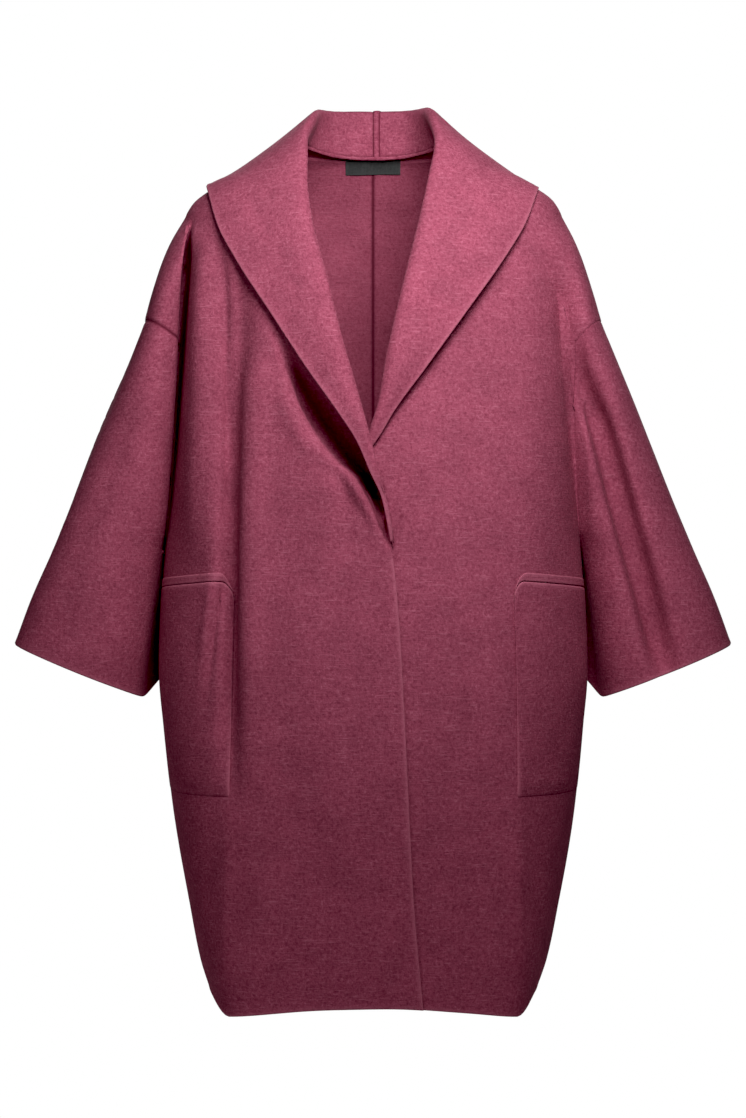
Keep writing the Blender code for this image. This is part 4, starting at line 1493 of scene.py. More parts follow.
@dataclass
class Panel:
    """A front or one half of the back, from the shoulder seam to the hem.

    Its net has three stretches across: to the line where the cloth turns to the side, on to the line
    below which the sleeve takes over, and out over the dropped shoulder. The third one ends on the armhole.
    """

    form: CoatForm
    relief: Relief
    face: Face
    side: Side
    cut: Cut
    edge_shares: tuple[float, ...] = (0.0, 0.0012, 0.003, 0.006, 0.010, 0.015, 0.022, 0.032, 0.045)
    hem_ways: tuple[float, ...] = TURNED_EDGE_WAYS
    armhole_ways: tuple[float, ...] = (0.0, 0.004, 0.010, 0.018, 0.030, 0.045)
    neck_rows: int = 16
    slant_from: float = -0.100
    slant_rows: int = 26
    row_step: float = 0.0046
    near_columns: int = 36
    far_columns: int = 46
    shoulder_columns: int = 26
    turn_least: float = 0.2
    shoulder_least: float = 0.3
    free_edge_blend: float = 0.02
    pressed_open: float = 0.0

    @property
    def name(self) -> str:
        """The panel's name, which is also its solid's."""
        return f"{self.face.name.lower()}_{self.side.name.lower()}"

    @property
    def sign(self) -> int:
        """Which way the net's normals point."""
        return self.face.value * self.side.value

    def upper_heights(self) -> tuple[Array, Array]:
        """Heights of the rows above the armhole's end, and how much each one rises over the shoulder.

        Returns:
            The heights from the neck down, and the rises.
        """
        form = self.form
        rise = np.linspace(1, 0, self.neck_rows) ** form.back_neck_curve
        neck = form.back_neck + (form.neck_point - form.back_neck) * rise
        level = np.arange(form.back_neck - self.row_step, self.slant_from, -self.row_step)
        t = close_shares(self.slant_rows, (0.0,), self.armhole_ways)
        slant = self.slant_from + (form.armhole_in_valley - self.slant_from) * t
        rise = (form.shoulder_end - form.armhole_in_valley) * t**2
        heights = np.concatenate([neck, level, slant])
        return heights, np.concatenate([np.zeros(len(neck) + len(level)), rise])

    def lower_heights(self) -> Array:
        """Heights of the rows below the armhole's end, close together at the hem.

        Returns:
            The heights, downwards.
        """
        form = self.form
        count = int(round((form.armhole_in_valley - form.hem) / self.row_step))
        even = np.linspace(form.armhole_in_valley, form.hem + max(self.hem_ways), count)[1:]
        return np.concatenate([even, form.hem + np.array(self.hem_ways[::-1])[1:]])

    def near_shares(self) -> Array:
        """Shares of the cloth across the stretch up to the turn."""
        return close_shares(self.near_columns, self.edge_shares, (0.0,))

    def far_shares(self) -> Array:
        """Shares of the cloth across the stretch past the turn."""
        return close_shares(self.far_columns, (0.0,), self.edge_shares)

    @property
    def side_column(self) -> int:
        """The column that runs down the armhole and the side seam."""
        return len(self.near_shares()) + len(self.far_shares()) - 2

    def base_net(self) -> Array:
        """Points of the right side, smooth; those past the armhole are not numbers.

        Returns:
            The net, one row for each height.
        """
        form, near, far = self.form, self.near_shares(), self.far_shares()
        z, rise = self.upper_heights()
        inner = form.inner_edge(z, self.face, self.side)
        outer = form.outer_edge(np.maximum(z + rise, form.shoulder_end), self.side)
        turn = np.clip(read(TURN_LINE, "half_width", z), inner + self.turn_least * (outer - inner), outer)
        valley = float(read(SINK[self.side], "half_width", form.armhole_in_valley))
        least = turn + self.shoulder_least * (outer - turn)
        level = np.clip(read(SHOULDER_LINE, "half_width", z), least, outer)
        middle = level + (valley - SHOULDER_LINE[-1].half_width) * rise / rise[-1]
        flat, face, side = np.zeros_like(z), self.face, self.side
        third = close_shares(self.shoulder_columns, (0.0,), self.edge_shares)
        upper = np.concatenate([
            form.level_net(inner, turn, z, flat, near, face, side, False),
            form.level_net(turn, middle, z, flat, far, face, side, False)[:, 1:],
            form.level_net(middle, outer, z, rise, third, face, side, True)[:, 1:],
        ], axis=1)
        z = self.lower_heights()
        inner, outer = form.inner_edge(z, face, side), form.outer_edge(z, side)
        turn, flat = read(TURN_LINE, "half_width", z), np.zeros_like(z)
        lower = np.concatenate([
            form.level_net(inner, turn, z, flat, near, face, side, False),
            form.level_net(turn, outer, z, flat, far, face, side, True)[:, 1:],
            np.full((len(z), len(third) - 1, 3), np.nan),
        ], axis=1)
        return np.vstack([upper, lower])

    def normals(self, net: Array) -> Array:
        """Normals of the panel's net, above and below the armhole's end.

        Args:
            net: The net's points.

        Returns:
            One normal for each point.
        """
        rows, side = len(self.upper_heights()[0]), self.side_column
        normals = np.full_like(net, np.nan)
        normals[:, : side + 1] = net_normals(net[:, : side + 1], self.sign)
        over = net_normals(net[:rows], self.sign)
        normals[: rows - 1] = over[:-1]
        normals[rows - 1, side:] = over[-1, side:]
        return normals

    def worn_net(self) -> Array:
        """Points of the right side, with its creases."""
        net = self.base_net()
        return net + self.normals(net) * self.relief.lift(net, self.face)[..., None]

    def edge_ways(self, net: Array) -> tuple[Array, Array]:
        """Ways from each point to the nearest turned edge and to the nearest seam.

        Args:
            net: The net's points.

        Returns:
            The two ways at each point.
        """
        z_upper, _ = self.upper_heights()
        rows, side = len(z_upper), self.side_column
        body, over = net[:, : side + 1], net[:rows]
        hem, inner, outer = (np.full(net.shape[:2], NOWHERE) for _ in range(3))
        hem[:, : side + 1], inner[:, : side + 1] = way_from(body, 0, -1), way_from(body, 1, 0)
        outer[rows:, : side + 1] = way_from(body, 1, -1)[rows:]
        along = way_from(over, 1, 0)
        aside = np.clip(along[:, side : side + 1] - along, 0, None)
        outer[:rows] = np.minimum(way_from(over, 1, -1), np.hypot(aside, way_from(over, 0, -1)))
        outer = outer + self.pressed_open
        if self.face is Face.BACK:
            return hem, np.minimum(inner, outer)
        z = np.concatenate([z_upper, self.lower_heights()])[:, None]
        tip = COLLAR[self.side][-1].edge_z
        sewn = ease(z, tip - self.free_edge_blend, tip + self.free_edge_blend)
        return np.minimum(hem, inner + sewn * NOWHERE), np.minimum(outer, inner + (1 - sewn) * NOWHERE)

    def build(self, finishes: Finishes) -> Array:
        """Makes the panel and gives back the points of its right side.

        Args:
            finishes: The coat's materials.

        Returns:
            The net of its right side.
        """
        net = self.worn_net()
        shell = Shell.of_cloth(net, self.normals(net), self.sign, self.form.cloth, *self.edge_ways(net))
        sew(self.name, shell, finishes.cloth(), self.cut)
        return net


@dataclass
class Sleeve:
    """A wide sleeve set into the dropped armhole, one tube with its seam under the arm."""

    form: CoatForm
    relief: Relief
    side: Side
    pressed_open: float = 0.0
    cut: Cut = Cut(0.40, 0.47, 0.155)
    cuff_inner_half_width: float = 0.267
    cuff_inner_height: float = -0.628
    cuff_rise: float = 0.405
    tuck_turn: float = -0.84
    tuck_spread: float = 0.10
    tuck_touch: float = 0.9935
    tuck_start: float = 0.004
    tuck_lift: float = 0.017
    armhole_points: int = 108
    armhole_top_points: int = 36
    cuff_steps: int = 12
    rows: int = 92
    seam_shares: tuple[float, ...] = (0.0, 0.002, 0.005, 0.009, 0.015, 0.022)
    cuff_shares: tuple[float, ...] = (0.0, 0.0008, 0.0018, 0.0032, 0.0052, 0.008, 0.012, 0.017, 0.024, 0.032)

    @property
    def name(self) -> str:
        """The sleeve's name, which is also its solid's."""
        return f"sleeve_{self.side.name.lower()}"

    def half_width(self, turn: Array, z: Array) -> Array:
        """Half width of the sleeve's cloth at a turn round it and a height."""
        outer, inner = read(ARM, "outer", z), read(ARM, "inner", z)
        return (outer + inner) / 2 + (outer - inner) / 2 * np.cos(np.pi * np.abs(turn))

    def tucked(self, turn: Array) -> Array:
        """Share of the tuck beside the body at a turn round the sleeve."""
        away = (turn - self.tuck_turn + 1) % 2 - 1
        return np.exp(-((away / self.tuck_spread) ** 2))

    def points(self, turn: Array, z: Array) -> Array:
        """Points of the sleeve: turn is 0 along the top, 1 under the arm in front and -1 behind.

        Args:
            turn: Turns round the sleeve.
            z: Heights.

        Returns:
            One point for each turn and height.
        """
        half = self.half_width(turn, z)
        front = self.form.arm_depth(half, z, Face.FRONT, self.side)
        back = self.form.arm_depth(half, z, Face.BACK, self.side)
        under = ease(z, self.form.underarm, self.form.underarm - self.tuck_start)
        room = under * (half - self.tuck_touch * read(BODY, "half_width", z))
        in_front = self.form.undercut(half, z, Face.FRONT, self.side) * (turn >= 0)
        behind = self.form.undercut(half, z, Face.BACK, self.side) * (turn < 0)
        half = half - np.clip(room, 0, None) * self.tucked(turn) + in_front + behind
        return np.stack([self.side.value * half, np.where(turn >= 0, -front, back), z], axis=-1)

    def armhole(self, z: Array) -> tuple[Array, Array]:
        """Turns of the sewn edge at heights down the sleeve, and their shares of its length.

        Args:
            z: Heights.

        Returns:
            The turns and the shares.
        """
        outer, inner = read(ARM, "outer", z), read(ARM, "inner", z)
        start = self.form.outer_edge(z, self.side)
        turn = np.arccos(np.clip((start - (outer + inner) / 2) / ((outer - inner) / 2), -1, 1)) / np.pi
        turn[0], turn[-1] = 0.0, 1.0
        steps = np.linalg.norm(np.diff(self.points(turn, z), axis=0), axis=1)
        length = np.insert(np.cumsum(steps), 0, 0.0)
        return turn, length / length[-1]

    def cuff_height(self, turn: Array) -> Array:
        """Height of the cuff's plane at a turn round the sleeve.

        Args:
            turn: Turns round the sleeve.

        Returns:
            The height at each turn.
        """
        z = np.full_like(turn, self.cuff_inner_height)
        for _ in range(self.cuff_steps):
            past = self.half_width(turn, z) - self.cuff_inner_half_width
            z = self.cuff_inner_height + self.cuff_rise * past
        return z + self.tuck_lift * self.tucked(turn)

    def worn_net(self) -> Array:
        """Points of the right side, with its creases: columns run round, rows down to the cuff.

        Returns:
            The net, a ring from row to row.
        """
        form = self.form
        near = np.linspace(form.shoulder_end, form.armhole_in_valley, self.armhole_top_points)
        far = np.linspace(form.armhole_in_valley, form.underarm, self.armhole_points - len(near) + 1)
        z = np.concatenate([near, far[1:]])
        sewn, cuff = self.armhole(z)
        ring_turn = np.concatenate([sewn[::-1], -sewn[1:-1]])
        ring_cuff = np.concatenate([cuff[::-1], -cuff[1:-1]])
        ring_z = np.concatenate([z[::-1], z[1:-1]])
        t = close_shares(self.rows, self.seam_shares, self.cuff_shares)[:, None]
        turn = ring_turn + (ring_cuff - ring_turn) * ease(t, 0, 1)
        net = self.points(turn, ring_z + (self.cuff_height(ring_cuff) - ring_z) * t)
        in_front, behind = (self.relief.crease_height(net, face) for face in Face)
        lift = np.where(net[..., 1] < 0, in_front, behind) + self.relief.unevenness(net)
        return net + net_normals(net, -self.side.value, True) * lift[..., None]

    def build(self, finishes: Finishes) -> None:
        """Makes the sleeve.

        Args:
            finishes: The coat's materials.
        """
        net = self.worn_net()
        normals = net_normals(net, -self.side.value, True)
        cuff, seam = way_from(net, 0, -1), way_from(net, 0, 0) + self.pressed_open
        shell = Shell.of_cloth(net, normals, -self.side.value, self.form.cloth, cuff, seam, True)
        sew(self.name, shell, finishes.cloth(), self.cut)


class Wave(NamedTuple):
    """A small waver along a seam or a tape: its height, its turns in radians and where it starts."""

    height: float
    turns: float
    start: float

    def at(self, share: Array) -> Array:
        """The waver at shares of the length."""
        return self.height * np.sin(share * self.turns + self.start)


@dataclass
class ShawlCollar:
    """The shawl collar's two halves, the felled band that joins them and the rolled neck seam."""

    form: CoatForm
    relief: Relief
    cut: Cut = Cut(0.30, 0.56, 0.085)
    shoulder_way: float = 0.021
    smoothings: int = 3
    roll_roundness: float = 0.030
    roll_reach: float = 0.8
    stand_pull: float = 1.1
    fall_leaves: float = 1.6
    fall_arrives: float = 0.9
    clearance: float = 0.0065
    laid_soft: float = 0.006
    tip_settles: float = 0.11
    tip_softness: float = 0.1
    laid_from: float = 0.2
    roll_room: float = 0.05
    columns: int = 150
    rows: int = 84
    curve_samples: int = 150
    edge_ways: tuple[float, ...] = TURNED_EDGE_WAYS
    short_fall: float = 0.040
    centre_shares: tuple[float, ...] = (0.0, 0.001, 0.0025, 0.005, 0.008)
    tip_shares: tuple[float, ...] = (0.0, 0.0008, 0.002, 0.0045, 0.009)
    band_width: float = 0.0088
    band_cloth: float = 0.0012
    band_columns: int = 12
    band_rows_left: int = 4
    band_edge: float = 0.45
    band_turn: float = 0.0016
    centre_flat: float = 0.0020
    ridge_radius: float = 0.0022
    ridge_sides: int = 14
    ridge_points: int = 110
    ridge_end: float = 0.006
    ridge_offset: Place = (0.0, -0.0034, -0.0008)
    ridge_flatness: float = 0.8
    ridge_core: float = 0.3
    ridge_waves: tuple[Wave, ...] = (Wave(0.07, 37.0, 0.0), Wave(0.05, 91.0, 1.0))

    def neck_line(self, side: Side, way: Array) -> Array:
        """The sewn edge at ways from the neck point, negative round the back.

        Args:
            side: Side of the wearer.
            way: Ways along the neckline.

        Returns:
            One point for each way.
        """
        form = self.form
        half = np.clip(way + form.back_neck_half_width, form.seam / 2, form.back_neck_half_width)
        rise = (half / form.back_neck_half_width) ** form.back_neck_curve
        z = form.back_neck + (form.neck_point - form.back_neck) * rise
        back = np.stack([half, form.torso_depth(half, z, Face.BACK) - form.cloth, z + form.seam], axis=1)
        z = form.neck_point - np.clip(way - self.shoulder_way, 0, None)
        edge = form.inner_edge(z, Face.FRONT, side)
        depth = form.torso_depth(np.abs(edge), z, Face.FRONT) + form.lap_lift(edge, z, Face.FRONT, side)
        front = np.stack([edge - form.cloth - form.seam, -depth, z], axis=1)
        line = back + (front - back) * np.clip(way / self.shoulder_way, 0, 1)[:, None]
        for _ in range(self.smoothings):
            line[1:-1] = (line[:-2] + 2 * line[1:-1] + line[2:]) / 4
        return line

    def station_line(self, side: Side, part: str, way: Array) -> Array:
        """The roll or the free edge at ways along the neckline.

        Args:
            side: Side of the wearer.
            part: Either roll or edge.
            way: Ways along the neckline.

        Returns:
            One point for each way.
        """
        rows = COLLAR[side]
        x, y, z = (np.array([getattr(row, f"{part}_{axis}") for row in rows]) for axis in "xyz")
        for i, row in enumerate(rows):
            lift = getattr(row, f"{part}_lift")
            if lift is not None:
                lap = self.form.lap_lift(x[i], z[i], Face.FRONT, side)
                y[i] = -(self.form.torso_depth(np.abs(x[i]), z[i], Face.FRONT) + lap + lift)
        places = [row.way for row in rows]
        return np.stack([smooth_line(places, axis, way) for axis in (x, y, z)], axis=1)

    def laid(self, fall: Array, t: Array, way: Array, side: Side) -> Array:
        """Keeps the fall clear of the panels that it lies on, less and less towards its tip.

        Args:
            fall: Points of the fall.
            t: Shares of the way from the roll to the free edge.
            way: Ways along the neckline.
            side: Side of the wearer.

        Returns:
            The points, moved out where they have to be.
        """
        out = fall.copy()
        kept_share = ease(COLLAR[side][-1].way - way, 0.0, self.tip_settles)[None, :]
        half, z = np.abs(fall[..., 0]), fall[..., 2]
        share = ease(t, 0.0, self.laid_from)[:, None]
        clear = self.clearance * share * kept_share - self.roll_room * (1 - share)
        soft = self.laid_soft * (self.tip_softness + (1 - self.tip_softness) * kept_share)
        for face in Face:
            lap = self.form.lap_lift(fall[..., 0], z, face, side)
            under = self.form.torso_depth(half, z, face) + lap + clear
            kept = soft_max(face.value * fall[..., 1], under, soft)
            out[..., 1] = np.where(face.value * fall[..., 1] > 0, face.value * kept, out[..., 1])
        return out

    def worn_net(self, side: Side, way: Array, rows: int) -> Array:
        """Points of the right side: columns run from the centre back to the tip, rows to the free edge.

        Args:
            side: Side of the wearer.
            way: Ways along the neckline.
            rows: How many even rows the net has.

        Returns:
            The net.
        """
        neck = self.neck_line(side, way)
        roll, edge = self.station_line(side, "roll", way), self.station_line(side, "edge", way)
        over = unit(unit(edge - roll) - unit(neck - roll))
        width = np.linalg.norm(edge - roll, axis=1, keepdims=True)
        reach = over * np.minimum(self.roll_roundness, self.roll_reach * width)
        t = np.linspace(0, 1, self.curve_samples)
        stand = hermite(neck, self.stand_pull * (roll - neck), roll, reach, t)
        fall = hermite(roll, self.fall_leaves * reach, edge, self.fall_arrives * (edge - roll), t)
        fall[..., 2] -= read(COLLAR[side], "sag", way, "way") * (4 * t * (1 - t))[:, None]
        curve = np.vstack([stand, self.laid(fall, t, way, side)[1:]])
        length = way_from(curve, 0, 0)
        net = np.empty((rows + len(self.edge_ways) - 1, len(way), 3))
        for c in range(len(way)):
            total = length[-1, c]
            close = np.array(self.edge_ways[::-1]) * min(1.0, total / self.short_fall)
            wanted = np.concatenate([np.linspace(0, total - close[0], rows), total - close[1:]])
            for axis in range(3):
                net[:, c, axis] = np.interp(wanted, length[:, c], curve[:, c, axis])
        net[:, way <= CENTRE_BACK, 0] = -self.form.seam_overlap
        net[..., 0] *= side.value
        normals = self.normals(net, side)
        return net + normals * (self.relief.unevenness(net) + self.relief.dented(net))[..., None]

    def normals(self, net: Array, side: Side) -> Array:
        """Normals of a collar's underside, level with the other half at the centre back.

        Args:
            net: The net's points.
            side: Side of the wearer.

        Returns:
            One normal for each point.
        """
        normals = net_normals(net, -side.value)
        normals[:, 0, 0] = 0
        return unit(normals)

    def build_half(self, side: Side, finishes: Finishes, with_pieces: list[Piece]) -> None:
        """Makes one half of the collar.

        Args:
            side: Side of the wearer.
            finishes: The coat's materials.
            with_pieces: Small pieces that go with it.
        """
        tip = COLLAR[side][-1].way
        share = close_shares(self.columns, self.centre_shares, self.tip_shares)
        net = self.worn_net(side, CENTRE_BACK + (tip - CENTRE_BACK) * share, self.rows)
        turned = np.minimum(way_from(net, 0, -1), way_from(net, 1, -1))
        sewn = np.minimum(way_from(net, 0, 0), way_from(net, 1, 0) + self.centre_flat)
        name = f"collar_{side.name.lower()}"
        shell = Shell.of_cloth(net, self.normals(net, side), -side.value, self.form.cloth, turned, sewn)
        sew(name, shell, finishes.cloth()[::-1], self.cut, with_pieces=with_pieces)

    def build_band(self, finishes: Finishes) -> Piece:
        """Makes the felled band at the centre back, from the neck seam over the roll.

        Args:
            finishes: The coat's materials.

        Returns:
            The band.
        """
        way = CENTRE_BACK + np.linspace(0.0, self.band_width, self.band_columns)
        net = self.worn_net(Side.LEFT, way, self.rows)[: -self.band_rows_left]
        up = -self.normals(net, Side.LEFT)
        off = np.minimum(way_from(net, 1, 0), way_from(net, 1, -1))
        full = self.band_edge + (1 - self.band_edge) * ease(off, 0.0, self.band_turn)
        net = net + up * (self.form.cloth + self.band_cloth * full)[..., None]
        shell = Shell.of_cloth(net, up, 1, self.band_cloth, np.full(off.shape, NOWHERE), off)
        return place("collar_centre_band", shell.mesh("collar_centre_band"), finishes.cloth())

    def build_ridge(self, finishes: Finishes) -> Piece:
        """Makes the rolled seam that shows as a soft ridge round the inside of the back neck.

        Args:
            finishes: The coat's materials.

        Returns:
            The ridge.
        """
        way = np.linspace(CENTRE_BACK, self.ridge_end, self.ridge_points)
        half = self.neck_line(Side.LEFT, way)
        line = np.vstack([half[:0:-1] * (-1, 1, 1), half]) + np.array(self.ridge_offset)
        line[:, 1] += self.relief.unevenness(line)
        along = unit(np.gradient(line, axis=0))
        up = unit(np.cross(np.cross(along, (0.0, 0.0, 1.0)), along))
        out = np.cross(along, up)
        turn = np.linspace(0, 2 * np.pi, self.ridge_sides, endpoint=False)
        share = np.linspace(0, 1, len(line))
        radius = self.ridge_radius * (1 + sum(wave.at(share) for wave in self.ridge_waves))
        up, out = np.cos(turn)[:, None] * up[:, None], np.sin(turn)[:, None] * out[:, None]
        ring = (up + self.ridge_flatness * out) * radius[:, None, None]
        bare = np.zeros(ring.shape[:2])
        shell = Shell(line[:, None] + ring, line[:, None] + ring * self.ridge_core, bare, bare, 1, True)
        return place("neck_seam_ridge", shell.mesh("neck_seam_ridge"), finishes.cloth())

    def build(self, finishes: Finishes) -> None:
        """Makes the collar.

        Args:
            finishes: The coat's materials.
        """
        band, ridge = self.build_band(finishes), self.build_ridge(finishes)
        self.build_half(Side.RIGHT, finishes, [ridge])
        self.build_half(Side.LEFT, finishes, [band])


@dataclass
class PatchPocket:
    """A patch pocket let into the side seam, and the welt that edges its mouth."""

    panel: Panel
    front: Array
    cut: Cut = Cut(0.24, 0.26, 0.050, "laid")
    welt_cut: Cut = Cut(0.24, 0.014, 0.0021, "laid")
    bottom: float = -0.735
    top: float = -0.490
    side_drop: float = 0.010
    corner_drop: float = 0.024
    corner_share: float = 0.085
    welt_corner_drop: float = 0.034
    welt_corner_share: float = 0.115
    side_share: float = 0.9957
    gap: float = 0.0004
    cloth: float = 0.0018
    welt_cloth: float = 0.0016
    welt_height: float = 0.0105
    mouth_gap: float = 0.0010
    pressed: float = 0.006
    pressed_bottom: float = 0.016
    pressed_side: float = 0.050
    inner_share: float = 0.60
    bottom_share: float = 0.15
    side_flat: float = 0.05
    # Way added to the pocket's seams, which makes their dip shallower and their painted shade fainter
    faint: float = 0.0012
    work: EdgeWork = EdgeWork(bead=0.0, groove=0.0, round_share=1.4)
    rows: int = 62
    columns: int = 54
    welt_rows: int = 16
    close: tuple[float, ...] = (0.0, 0.0015, 0.004, 0.008, 0.013, 0.020, 0.030)
    welt_close: tuple[float, ...] = (0.0, 0.03, 0.08)

    def mouth(self, share: Array, corner_share: float, corner_drop: float) -> Array:
        """Height of the mouth from its rounded inner corner to the side seam."""
        corner = np.clip(1 - share / corner_share, 0, 1)
        return self.top - self.side_drop * share - corner_drop * (1 - np.sqrt(1 - corner**2))

    def on_front(self, share: Array, z: Array) -> tuple[Array, Array]:
        """Points and normals of the front that carries the pocket, by share past its turn and height.

        Args:
            share: Shares of the cloth past the front's turn.
            z: Heights.

        Returns:
            The points and their normals.
        """
        first, heights = len(self.panel.upper_heights()[0]), self.panel.lower_heights()
        near, count = len(self.panel.near_shares()), len(self.panel.far_shares())
        part = np.s_[first:, near - 1 : near + count - 1]
        rows = np.interp(-z, -heights, np.arange(len(heights)))
        columns = np.interp(share, self.panel.far_shares(), np.arange(count))
        r, c = np.minimum(rows.astype(int), len(heights) - 2), np.minimum(columns.astype(int), count - 2)
        fr, fc = (rows - r)[..., None], (columns - c)[..., None]
        blend = []
        for grid in (self.front[part], self.panel.normals(self.front)[part]):
            low = grid[r, c] * (1 - fc) + grid[r, c + 1] * fc
            high = grid[r + 1, c] * (1 - fc) + grid[r + 1, c + 1] * fc
            blend.append(low * (1 - fr) + high * fr)
        return blend[0], unit(blend[1])

    def risen(self, way: Array, least: float, length: float) -> Array:
        """Share of the cloth's rise at ways from a pressed edge."""
        return least + (1 - least) * ease(way, 0.0, length)

    def lay(
        self, name: str, share: Array, z: Array, cloth: float, turned_ends: tuple[int, ...], cut: Cut,
        finishes: Finishes,
    ) -> None:
        """Lays a piece of cloth on the front.

        Args:
            name: The piece's name, which is also its solid's.
            share: Shares of the cloth past the front's turn.
            z: Heights.
            cloth: Thickness of the cloth.
            turned_ends: Ends of the columns, 0 or -1, that are turned edges.
            cut: Its flat size.
            finishes: The coat's materials.
        """
        points, normals = self.on_front(np.broadcast_to(share, z.shape) * self.side_share, z)
        low = way_from(points, 0, -1) if -1 not in turned_ends else np.full(z.shape, NOWHERE)
        full = self.risen(low, self.bottom_share, self.pressed_bottom)
        full = full * self.risen(way_from(points, 1, 0), self.inner_share, self.pressed)
        full = full * self.risen(way_from(points, 1, -1), self.side_flat, self.pressed_side)
        net = points + normals * (self.gap + cloth * full)[..., None]
        turned = np.min([way_from(net, 0, end) for end in turned_ends] + [way_from(net, 1, 0)], axis=0)
        others = [way_from(net, 0, end) for end in (0, -1) if end not in turned_ends] + [way_from(net, 1, -1)]
        sewn, sign = np.min(others, axis=0) + self.faint, self.panel.sign
        shell = Shell.of_cloth(net, net_normals(net, sign), sign, cloth, turned, sewn, work=self.work)
        sew(name, shell, finishes.cloth(), cut, rests_on=[f"{self.panel.name}_cloth"])

    def build(self, finishes: Finishes) -> None:
        """Makes the patch and its welt.

        Args:
            finishes: The coat's materials.
        """
        word = self.panel.side.name.lower()
        share = close_shares(self.columns, self.close, self.close)[None, :]
        down = close_shares(self.rows, self.close, self.close)[:, None]
        mouth = self.mouth(share, self.corner_share, self.corner_drop)
        z = mouth + (self.bottom - mouth) * down
        self.lay(f"pocket_{word}", share, z, self.cloth, (0,), self.cut, finishes)
        upper = self.mouth(share, self.welt_corner_share, self.welt_corner_drop) + self.welt_height
        lower = mouth + self.mouth_gap
        z = upper + (lower - upper) * close_shares(self.welt_rows, self.welt_close, self.welt_close)[:, None]
        self.lay(f"pocket_welt_{word}", share, z, self.welt_cloth, (0, -1), self.welt_cut, finishes)


@dataclass
class NeckLabel:
    """A plain woven label inside the back neck."""

    form: CoatForm
    relief: Relief
    cut: Cut = Cut(0.066, 0.016, 0.00105, "laid")
    top: float = 0.0135
    cloth: float = 0.0008
    off_lining: float = 0.0044
    columns: int = 60
    rows: int = 18
    close: tuple[float, ...] = (0.0, 0.004, 0.010, 0.018)
    close_down: tuple[float, ...] = (0.0, 0.015, 0.04, 0.07)
    tilt: Wave = Wave(0.0005, 5.0, 0.0)
    curl: Wave = Wave(0.0004, 11.0, 0.0)

    def build(self, finishes: Finishes) -> None:
        """Makes the label.

        Args:
            finishes: The coat's materials.
        """
        across = close_shares(self.columns, self.close, self.close)[None, :]
        down = close_shares(self.rows, self.close_down, self.close_down)[:, None]
        x = np.broadcast_to((0.5 - across) * self.cut.width, (down.shape[0], across.shape[1]))
        z = self.top - self.cut.length * down + self.tilt.at(across)
        y = self.form.torso_depth(np.abs(x), z, Face.BACK) - self.off_lining
        net = np.stack([x, y, np.broadcast_to(z, x.shape)], axis=-1)
        net[..., 1] += self.relief.unevenness(net) - self.curl.at(across) * down
        turned = np.min([way_from(net, axis, end) for axis in (0, 1) for end in (0, -1)], axis=0)
        unsewn = np.full(turned.shape, NOWHERE)
        shell = Shell.of_cloth(net, net_normals(net, 1), 1, self.cloth, turned, unsewn)
        piece = place("label_tape", shell.mesh("label_tape"), (finishes.tape, finishes.tape))
        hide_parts("label")


class Softbox(NamedTuple):
    """A soft light: where it stands, the point that it faces, its width and height, and its watts."""

    name: str
    at: Place
    towards: Place
    size: Span
    energy: float


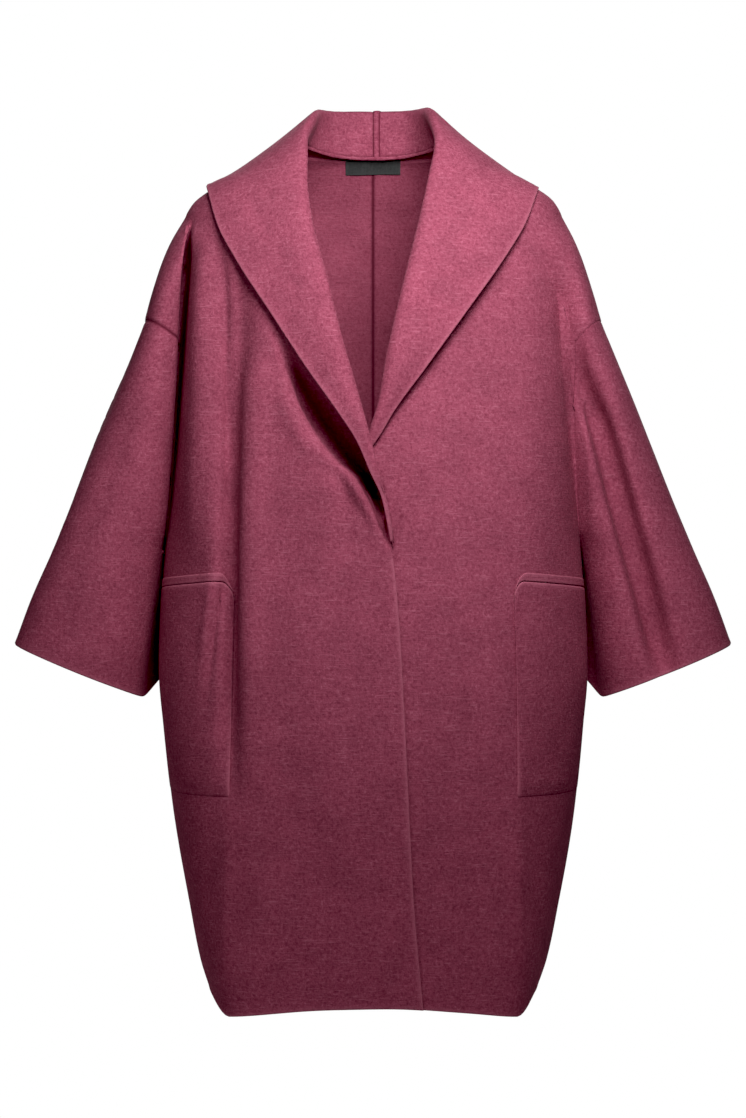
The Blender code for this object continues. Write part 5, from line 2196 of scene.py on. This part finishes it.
@dataclass
class Studio:
    """A pale floor where the wearer would stand, soft light from above in front, and the camera."""

    floor_height: float = -1.42
    floor_radius: float = 1.5
    camera_way: float = 3.6
    camera_height: float = -0.465
    frame_height: float = 1.319
    sensor: float = 36.0
    lights: tuple[Softbox, ...] = (
        Softbox("key_softbox", (0.15, -0.80, 0.32), (0.0, 0.0, -0.20), (0.5, 0.4), 13.0),
        Softbox("left_fill", (-1.2, -1.3, -0.1), (0.0, 0.0, -0.40), (0.8, 0.8), 4.2),
        Softbox("right_fill", (1.2, -1.3, -0.1), (0.0, 0.0, -0.40), (0.8, 0.8), 1.2),
        Softbox("back_fill", (0.0, 2.6, 0.9), (0.0, 0.0, -0.4), (2.2, 1.6), 60.0),
    )
    floor_sides: int = 96
    floor_colour: Colour = (0.82, 0.82, 0.82, 1.0)
    floor_rough: float = 0.9
    white: Colour = (1.0, 1.0, 1.0, 1.0)
    sky: float = 0.01
    black_point: float = 0.0105

    def build(self) -> None:
        """Makes the floor, the lights, the white surround and the camera."""
        self.floor()
        for light in self.lights:
            self.light(light)
        self.surround()
        lens = bpy.data.cameras.new("photograph")
        lens.sensor_width = self.sensor
        lens.lens = self.sensor * self.camera_way / self.frame_height
        camera = bpy.data.objects.new("photograph", lens)
        camera.location = (0.0, -self.camera_way, self.camera_height)
        camera.rotation_euler = (math.pi / 2, 0.0, 0.0)
        bpy.context.scene.collection.objects.link(camera)
        bpy.context.scene.camera = camera

    def floor(self) -> None:
        """Makes the round floor."""
        turn = np.linspace(0, 2 * np.pi, self.floor_sides, endpoint=False)
        x, y = self.floor_radius * np.cos(turn), self.floor_radius * np.sin(turn)
        rim = np.stack([x, y, np.full_like(turn, self.floor_height)], axis=1)
        mesh = bpy.data.meshes.new("pale_floor")
        mesh.from_pydata(rim.tolist(), [], [list(range(len(rim)))])
        material = bpy.data.materials.new("pale_floor")
        material.use_nodes = True
        shader = material.node_tree.nodes["Principled BSDF"]
        shader.inputs["Base Color"].default_value = self.floor_colour
        shader.inputs["Roughness"].default_value = self.floor_rough
        mesh.materials.append(material)
        floor = bpy.data.objects.new("pale_floor", mesh)
        bpy.context.scene.collection.objects.link(floor)

    def light(self, box: Softbox) -> None:
        """Makes a soft light.

        Args:
            box: The light's place, size and power.
        """
        light = bpy.data.lights.new(box.name, "AREA")
        light.shape = "RECTANGLE"
        light.size, light.size_y = box.size
        light.energy = box.energy
        lamp = bpy.data.objects.new(box.name, light)
        bpy.context.scene.collection.objects.link(lamp)
        lamp.location = box.at
        lamp.rotation_euler = (Vector(box.towards) - Vector(box.at)).to_track_quat("-Z", "Y").to_euler()

    def surround(self) -> None:
        """Makes the surround: white to the camera, and dimmer as light."""
        scene = bpy.context.scene
        scene.world = bpy.data.worlds.new("white_surround")
        scene.world.use_nodes = True
        nodes = Shading(scene.world.node_tree)
        back = scene.world.node_tree.nodes["Background"]
        back.inputs["Color"].default_value = self.white
        seen = nodes.add("ShaderNodeLightPath").outputs["Is Camera Ray"]
        nodes.feed(back.inputs["Strength"], nodes.ramp(seen, WHOLE, (self.sky, 1.0)))
        view = scene.view_settings
        view.view_transform = "Standard"
        view.use_curve_mapping = True
        view.curve_mapping.black_level = (self.black_point,) * 3
        view.curve_mapping.update()


FRONT_CUT = Cut(0.46, 1.02, 0.36)
BACK_CUT = Cut(0.38, 1.01, 0.34)
# How flat the front armhole seams are pressed, as a way added to every point's way from the seam, which makes
# their dip shallower and their painted shade fainter
PRESSED_OPEN = {Side.RIGHT: 0.0, Side.LEFT: 0.0020}


def main() -> None:
    """Builds the coat, piece by piece, and its studio."""
    logging.basicConfig(level=logging.INFO, format="%(message)s")
    form, relief, finishes = CoatForm(), Relief(), Finishes.make()
    for side in Side:
        front = Panel(form, relief, Face.FRONT, side, FRONT_CUT, pressed_open=PRESSED_OPEN[side])
        PatchPocket(front, front.build(finishes)).build(finishes)
        Panel(form, relief, Face.BACK, side, BACK_CUT).build(finishes)
        Sleeve(form, relief, side, PRESSED_OPEN[side]).build(finishes)
    ShawlCollar(form, relief).build(finishes)
    NeckLabel(form, relief).build(finishes)
    Studio().build()


if __name__ == "__main__":
    main()
